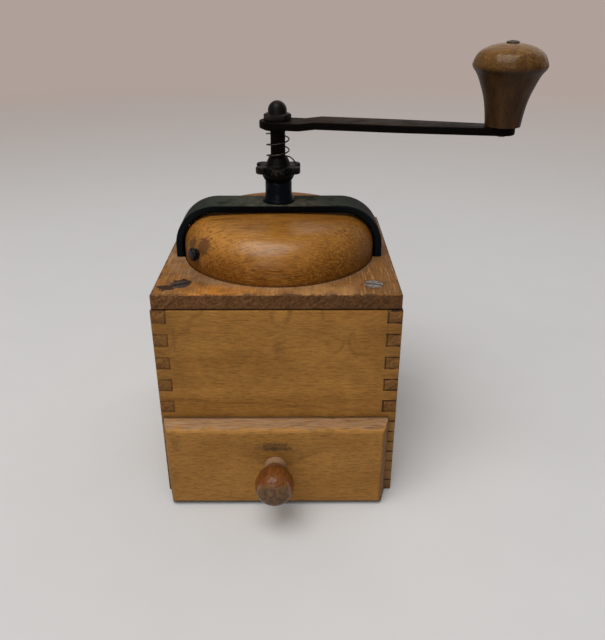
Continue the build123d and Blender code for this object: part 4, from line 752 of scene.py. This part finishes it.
# ADJUSTING NUT
# A cast star nut with six lobes, painted black, rubbed to grey-brown on its lobes. It is threaded on
# the spindle above the bridge's boss.
lobes, given, result = new_tree("lobes", Count="Int", Ring_Radius="Float", Lobe_Radius="Float",
                                Lobe_Height="Float", Rise="Float", Turn="Float", Grain="Float",
                                Finish="Material")
ring = made(lobes, "GeometryNodeMeshCircle",
            {"Vertices": given["Count"], "Radius": given["Ring_Radius"]})
disc = made(lobes, "GeometryNodeMeshCylinder",
            {"Vertices": 32, "Radius": given["Lobe_Radius"], "Depth": given["Lobe_Height"]})
star = made(lobes, "GeometryNodeInstanceOnPoints", {"Points": ring, "Instance": disc})
star = made(lobes, "GeometryNodeTransform",
            {0: star, "Translation": upward(lobes, given["Rise"]),
             "Rotation": upward(lobes, given["Turn"])})
real_star = made(lobes, "GeometryNodeRealizeInstances", {0: star})
filled = made(lobes, "GeometryNodeMeshToVolume",
              {0: joined(lobes, real_star, given["Start"]), "Voxel Size": given["Grain"],
               "Interior Band Width": sums(lobes, "MULTIPLY", given["Grain"], 4.0)},
              resolution_mode="VOXEL_SIZE")
cast = made(lobes, "GeometryNodeVolumeToMesh", {0: filled, "Threshold": 0.05, "Adaptivity": 0.0},
            resolution_mode="GRID")
softer = made(lobes, "GeometryNodeBlurAttribute",
              {"Value": made(lobes, "GeometryNodeInputPosition"), "Iterations": 3},
              data_type="FLOAT_VECTOR")
cast = made(lobes, "GeometryNodeSetPosition", {0: cast, "Position": softer})
finished(lobes, cast, result, given["Finish"], 1.2)


def lobe_wear(skin):
    """Lobes rubbed in blotches by fingertips on their outer rims."""
    grip = skin.ramp(skin.radius(), 0.0100, 0.0119)
    blotch = skin.ramp(skin.noise(500, 4.0), 0.45, 0.62)
    skin.lay((0.030, 0.022, 0.017), 0.6, grip, blotch)


nut_paint = paint("nut_paint", (0.0016, 0.0015, 0.0014), (0.008, 0.006, 0.005), (0.05, 0.04, 0.03),
                  0.6, 0.35, lobe_wear, 0.05)
NUT_BASE = 148.1
nut_line = [(3.9, 0), (6.8, 0), (7.9, 2.0), (7.9, 4.0), (8.8, 4.3), (8.8, 7.2), (6.4, 7.5),
            (4.4, 11.7), (3.9, 11.7), (3.9, 0)]
grown("star_nut", outline([(r, NUT_BASE + h) for r, h in nut_line]),
      [(turning, {"Steps": 64, "Finish": nut_paint}),
       (lobes, {"Count": 6, "Ring_Radius": 0.0088, "Lobe_Radius": 0.0033, "Lobe_Height": 0.0033,
                "Rise": 0.15385, "Turn": math.radians(30), "Grain": 0.00028, "Finish": nut_paint})],
      "adjusting_nut")

# LOCK SPRING
# Bare spring wire, wound in open turns about the spindle between the star nut and the crank, with a
# tail that catches the nut's lobes.
wire, given, result = new_tree("wire", Wire_Radius="Float", Sides="Int", Finish="Material")
path = made(wire, "GeometryNodeMeshToCurve", {0: given["Start"]})
section = made(wire, "GeometryNodeCurvePrimitiveCircle",
               {"Resolution": given["Sides"], "Radius": given["Wire_Radius"]})
swept = made(wire, "GeometryNodeCurveToMesh",
             {"Curve": path, "Profile Curve": section, "Fill Caps": True})
finished(wire, swept, result, given["Finish"], 1.2)

COIL_RADIUS = 5.45
COIL_BASE = 158.8
COIL_PITCH = 5.2
TURN_STEPS = 24
COIL_STEPS = 55
coil_line = [(9.4, 0.4, 155.0), (8.4, 1.7, 156.3), (7.2, 3.1, 157.5), (5.6, 4.5, 158.4),
             (3.0, 5.4, 158.75)]
for step in range(COIL_STEPS):
    turn = math.tau * (0.25 + step / TURN_STEPS)
    coil_line.append((COIL_RADIUS * math.cos(turn), COIL_RADIUS * math.sin(turn),
                      COIL_BASE + COIL_PITCH * step / TURN_STEPS))
spring_steel = iron("spring_steel", (0.012, 0.010, 0.008), (0.075, 0.062, 0.050), 0.35, 0.9, 700.0)
grown("wire_spring", chain(coil_line),
      [(wire, {"Wire_Radius": 0.00035, "Sides": 10, "Finish": spring_steel})],
      "lock_spring")

# CRANK
# A flat forged arm, square-holed on the spindle and held by an acorn nut; dark paint worn brown.
# The knob's pin is riveted into its far end.


def arm_wear(skin):
    """Brown where the paint is rubbed thin along the middle of the arm."""
    middle = skin.ramp(skin.apart(skin.x, 0.038), 0.044, 0.018)
    blotch = skin.ramp(skin.noise((60, 220, 220), 4.0, (2, 0, 0)), 0.32, 0.6)
    skin.lay((0.026, 0.013, 0.007), 0.65, middle, blotch, skin.top)


eased("forged_arm", "crank_arm", IRON_EASE,
      paint("arm_paint", (0.0022, 0.0016, 0.0012), (0.007, 0.0048, 0.0035), (0.036, 0.026, 0.018),
            0.6, 0.45, arm_wear, 0.02))
eased("acorn_nut", "cap_nut", IRON_EASE,
      paint("acorn_paint", (0.0030, 0.0025, 0.0024), (0.024, 0.018, 0.014), (0.05, 0.04, 0.034),
            0.6, 0.35, sheen=0.1))

# CRANK KNOB
# A turned beech knob with the fibres upright, varnished golden on top, its stem dark with handling.
# It spins free on a steel pin with a riveted head.


def through(points, first_way, last_way, steps=8):
    """Points of a smooth line through the given ones, leaving and arriving in the given directions."""
    places = [Vector(point) for point in points]
    ways = [Vector(first_way).normalized()]
    ways += [(after - before).normalized() for before, after in zip(places, places[2:])]
    ways.append(Vector(last_way).normalized())
    line = [tuple(places[0])]
    for start, end, out, into in zip(places, places[1:], ways, ways[1:]):
        span = (end - start).length
        for step in range(1, steps + 1):
            t = step / steps
            line.append(tuple(start * (2 * t**3 - 3 * t**2 + 1) + out * (span * (t**3 - 2 * t**2 + t))
                              + end * (3 * t**2 - 2 * t**3) + into * (span * (t**3 - t**2))))
    return line


KNOB_FOOT = (0.101535, -0.022510, 0.1783)
KNOB_RIM_Z = 0.2019
KNOB_COAT = 0.32


def knob_marks(wood):
    """Dark handled stem under the rim, a darker line where the varnish stops, pale flecks on top,
    painted shade on the crown just above the rim.
    """
    stem = wood.ramp(wood.z, KNOB_RIM_Z + 0.0006, KNOB_RIM_Z - 0.0006)
    blotch = wood.ramp(wood.noise((260, 260, 60), 5.0, rough=0.6), 0.3, 0.7)
    worn = wood.mix(blotch, (0.014, 0.0050, 0.0012), (0.052, 0.024, 0.0070))
    flecks = wood.ramp(wood.noise((300, 1100, 900), 4.0, (1, 2, 3), 0.7), 0.38, 0.64)
    wood.lay((0.27, 0.140, 0.034), 0.5, flecks)
    dark = wood.ramp(wood.noise((700, 1700, 1500), 2.0, (4, 2, 6), 0.6), 0.55, 0.66)
    wood.lay((0.040, 0.017, 0.005), 0.65, dark)
    # Painted shade: the crown darkened in streaks just above its rim, most toward the right.
    sway = wood.ramp(wood.noise((420, 420, 60), 3.0, (8, 3, 1)), 0.3, 0.7, -0.003, 0.003)
    above_rim = wood.ramp(wood.calc("ADD", wood.z, sway), KNOB_RIM_Z + 0.0075, KNOB_RIM_Z + 0.002)
    low = wood.times(above_rim, wood.ramp(wood.x, 0.088, 0.110, 0.5, 1.0))
    wood.lay((0.034, 0.012, 0.003), 0.92, low)
    wood.varnish = wood.ramp(wood.calc("MAXIMUM", stem, low), 0.0, 1.0, KNOB_COAT, KNOB_COAT / 8)
    wood.lay(worn, 0.95, stem)
    line = wood.ramp(wood.apart(wood.z, KNOB_RIM_Z), 0.0012, 0.0004)
    wood.lay((0.02, 0.009, 0.004), 0.7, line)


knob_beech = beech("knob_beech", "Z", (0.150, 0.070, 0.013), (0.075, 0.030, 0.005),
                   (0.120, 0.055, 0.010), 6.1, 0.4, marks=knob_marks, polish=0.1)
stem_line = through([(7.8, 0), (9.15, 9.5), (11.35, 16.5), (15.1, 23.6)], (0.1, 1), (1, 1))
crown_line = through([(15.1, 23.6), (15.9, 26.0), (12.9, 31.2), (4.0, 34.3)], (0.7, 1), (-1, 0.12), 10)
grown("turned_knob", outline([(2.45, 0), *stem_line, *crown_line[1:], (2.45, 34.3), (2.45, 0)]),
      [(turning, {"Steps": 72, "Place": KNOB_FOOT, "Finish": knob_beech})], "crank_knob")
eased("knob_rivet", "knob_pin", SHAFT_EASE, screw_finish)

# DRAWER
# A thick varnished beech front with sloped ends on a plain box: grooved sides, a back and a thin
# bottom. It slides on the floor board.
DRAWER_FACE = -0.0691
PULL_X = -0.0015


def drawer_marks(wood):
    """Bare worn top edge with a painted highlight on its rounding, painted shadow at the foot and in the
    gap behind, mottled dirt on the ends made deepest on the right by painted shade, the dark rub above the
    pull.
    """
    ragged = wood.ramp(wood.noise(260, 4.0, (7, 1, 1)), 0.3, 0.7, -0.15, 0.15)
    top = wood.ramp(wood.calc("ADD", wood.facing[2], ragged), 0.78, 0.98)
    # Painted highlight: the rounded top edge made paler orange, where it turns up toward the light.
    arris = wood.ramp(wood.facing[2], 0.25, 0.7)
    wood.lay((0.40, 0.195, 0.052), 0.7, arris)
    fibres = wood.ramp(wood.noise((90, 900, 900), 5.0, rough=0.65), 0.3, 0.7)
    bare = wood.mix(fibres, (0.23, 0.125, 0.062), (0.43, 0.265, 0.148))
    wood.lay(bare, 0.9, top)
    pits = wood.ramp(wood.noise((160, 1200, 1200), 3.0, (4, 0, 2)), 0.54, 0.66)
    rightward = wood.ramp(wood.x, -0.06, 0.05, 0.3, 1.0)
    wood.lay((0.07, 0.038, 0.020), 0.6, arris, pits, rightward)
    # Painted shadow: the underside and lowest edge made near black, for the shade in the gap above the
    # table.
    facing_down = wood.ramp(wood.facing[2], -0.2, -0.6)
    foot = wood.calc("MAXIMUM", facing_down, wood.ramp(wood.z, 0.0024, 0.0015))
    wood.lay((0.012, 0.007, 0.004), 0.95, foot)
    # Painted shadow: the back edge of the top darkened, for the gap against the front board.
    gap = wood.times(arris, wood.ramp(wood.y, -0.0596, -0.0584))
    wood.lay((0.020, 0.011, 0.006), 0.8, gap)
    # Mottled dirt on the sloped ends, with painted shade: the right end, away from the lamp, is made
    # darker.
    slope = wood.ramp(wood.calc("ABSOLUTE", wood.facing[0]), 0.25, 0.6)
    side = wood.ramp(wood.x, -0.01, 0.01, 0.2, 0.75)
    dirty = wood.ramp(wood.noise((260, 600, 600), 5.0, (2, 2, 5), 0.65), 0.25, 0.75)
    wood.lay((0.045, 0.026, 0.014), slope, dirty, side)
    rub = wood.patch((PULL_X, DRAWER_FACE, 0.0359), (0.0090, 0.004, 0.0031), 0.35, 420.0, 0.55)
    streaks = wood.ramp(wood.noise((160, 300, 1400), 3.0), 0.35, 0.6, 0.25, 1.0)
    wood.lay((0.050, 0.034, 0.020), 0.8, rub, streaks)
    corner = wood.patch((-0.0495, DRAWER_FACE, 0.0385), (0.0022, 0.004, 0.0045), 0.5, 300.0)
    wood.lay((0.12, 0.06, 0.025), 0.3, corner)


DRAWER_EASE = 0.0004
drawer_beech = beech("drawer_beech", "X", (0.335, 0.160, 0.039), (0.235, 0.106, 0.024),
                     (0.29, 0.150, 0.055), 8.3, marks=drawer_marks, fleck=0.45)
eased("drawer_board", "drawer_front", DRAWER_EASE, drawer_beech)
inner_board("drawer_left", "drawer_left_side", "Y", 1.9)
inner_board("drawer_right", "drawer_right_side", "Y", 6.6)
inner_board("drawer_rear", "drawer_back", "X", 3.1)
inner_board("drawer_floor", "drawer_bottom", "X", 4.8)

# DRAWER PULL
# A small turned beech knob, reddish where the varnish holds, pale at its neck and worn dirty at its
# end. A screw from inside the drawer holds it.


def pull_marks(wood):
    """Dark streaks, a pale neck against the board and a dirty worn end."""
    streaks = wood.ramp(wood.noise((1500, 70, 200), 3.0, (3, 3, 3), 0.6), 0.40, 0.62)
    wood.colour = wood.shade(wood.colour, streaks, 0.80, 1.15)
    neck = wood.ramp(wood.y, -0.0745, -0.0722)
    wood.lay((0.30, 0.19, 0.11), 0.8, neck)
    ragged = wood.ramp(wood.noise(420, 3.0), 0.3, 0.7, -0.0009, 0.0009)
    tip = wood.calc("ADD", wood.y, ragged)
    low = wood.ramp(wood.calc("ADD", wood.z, ragged), 0.0302, 0.0284)
    rim = wood.times(wood.ramp(tip, -0.0876, -0.0884), low)
    wood.lay((0.27, 0.155, 0.080), 0.5, rim)
    end = wood.times(wood.ramp(tip, -0.0886, -0.0894), low)
    blotch = wood.ramp(wood.noise(500, 4.0), 0.38, 0.62)
    dirty = wood.mix(blotch, (0.052, 0.024, 0.014), (0.130, 0.070, 0.026))
    flaked = wood.ramp(wood.noise(800, 3.0, (2, 5, 1)), 0.56, 0.64)
    dirty = wood.mix(wood.times(0.6, flaked), dirty, (0.030, 0.013, 0.006))
    wood.lay(dirty, 0.85, end)


pull_beech = beech("pull_beech", "Y", (0.185, 0.062, 0.013), (0.108, 0.032, 0.006),
                   (0.14, 0.050, 0.012), 2.7, 0.38, 0.3, pull_marks, polish=0.08)
PULL_FOOT = (PULL_X, DRAWER_FACE, 0.0245)
INWARD = (-0.93, 0.36)
egg_line = through([(5.4, 0), (4.9, 3.2), (9.1, 13.2), (5.6, 21.4)], (-0.3, 1), INWARD, 10)
end_line = arc((5.6, 21.4), INWARD, (0, 23.0), 6)[0]
grown("turned_pull", outline([(0, 10.0), (1.92, 10.0), (1.92, 0), *egg_line, *end_line]),
      [(turning, {"Steps": 64, "Place": PULL_FOOT, "Lean": (math.pi / 2, 0, 0), "Finish": pull_beech})],
      "drawer_knob")
eased("pull_screw", "drawer_knob_screw", SHAFT_EASE, screw_finish)

# FLOOR, LIGHT AND CAMERA
# A plain pale table that runs far back, under one wide soft lamp overhead and two weak fills. The
# camera stands where the photograph was taken from.
FLOOR_HALF = 60.0
FLOOR_DROP = -0.0003
floor_mesh = bpy.data.meshes.new("floor")
floor_corners = [(x * FLOOR_HALF, y * FLOOR_HALF, FLOOR_DROP)
                 for x, y in ((-1, -1), (1, -1), (1, 1), (-1, 1))]
floor_mesh.from_pydata(floor_corners, [], [(0, 1, 2, 3)])
floor = bpy.data.objects.new("floor", floor_mesh)
bpy.context.scene.collection.objects.link(floor)
FAR_TONE = (0.43, 0.355, 0.32, 1.0)
table = Finish("table_white")
faint = table.noise(30, 4.0)
table.colour = table.mix(faint, (0.60, 0.595, 0.59), (0.63, 0.625, 0.62))
table_white = table.done(table.ramp(faint, 0.0, 1.0, 0.6, 0.7), Specular_IOR_Level=0.15)


def shown_directly(tree):
    """1 for rays that show the backdrop to the eye, straight on or in a shiny or clear surface."""
    seen = add(tree, "ShaderNodeLightPath").outputs
    mirrored = sums(tree, "MAXIMUM", seen["Is Glossy Ray"], seen["Is Transmission Ray"])
    return sums(tree, "MAXIMUM", seen["Is Camera Ray"], mirrored)


distance = add(table.tree, "ShaderNodeVectorMath", {0: table.place},
               operation="LENGTH").outputs["Value"]
far_share = table.times(table.ramp(distance, 0.45, 1.6), shown_directly(table.tree))
backdrop = made(table.tree, "ShaderNodeEmission", {"Color": FAR_TONE})
surface = made(table.tree, "ShaderNodeMixShader",
               {0: far_share, 1: table.shader.outputs[0], 2: backdrop})
table.tree.links.new(surface, table.tree.nodes["Material Output"].inputs["Surface"])
floor_mesh.materials.append(table_white)

ROOM_STRENGTH = 0.25
world = bpy.data.worlds.new("soft_room")
world.use_nodes = True
room = world.node_tree
room_light = room.nodes["Background"]
room_light.inputs["Color"].default_value = (1.0, 0.98, 0.96, 1.0)
room_light.inputs["Strength"].default_value = ROOM_STRENGTH
room_sight = made(room, "ShaderNodeBackground", {"Color": FAR_TONE})
room_mix = made(room, "ShaderNodeMixShader",
                {0: shown_directly(room), 1: room_light.outputs[0], 2: room_sight})
room.links.new(room_mix, room.nodes["World Output"].inputs["Surface"])
bpy.context.scene.world = world

AIM = Vector((0, 0, 0.08))
for name, place, size, power in (("overhead_softbox", (-0.35, -0.6, 1.6), 1.4, 25.0),
                                 ("front_fill", (-0.4, -1.8, 0.6), 1.0, 6.0),
                                 ("back_fill", (1.0, 1.5, 1.3), 2.4, 8.0)):
    lamp = bpy.data.lights.new(name, "AREA")
    lamp.energy = power
    lamp.size = size
    lamp.color = (1.0, 0.99, 0.98)
    softbox = bpy.data.objects.new(name, lamp)
    softbox.location = place
    softbox.rotation_euler = (AIM - Vector(place)).to_track_quat("-Z", "Y").to_euler()
    bpy.context.scene.collection.objects.link(softbox)

FOCAL_LENGTH = 37.29
EYE = (0.01061, -0.32718, 0.23354)
LOOK_DOWN = math.radians(26.608)
LOOK_RIGHT = 0.0042
lens = bpy.data.cameras.new("photo_view")
lens.lens = FOCAL_LENGTH
lens.clip_start = 0.01
camera = bpy.data.objects.new("photo_view", lens)
camera.location = EYE
camera.rotation_euler = (math.pi / 2 - LOOK_DOWN, 0, -LOOK_RIGHT)
bpy.context.scene.collection.objects.link(camera)
bpy.context.scene.camera = camera
bpy.context.scene.view_settings.view_transform = "Standard"
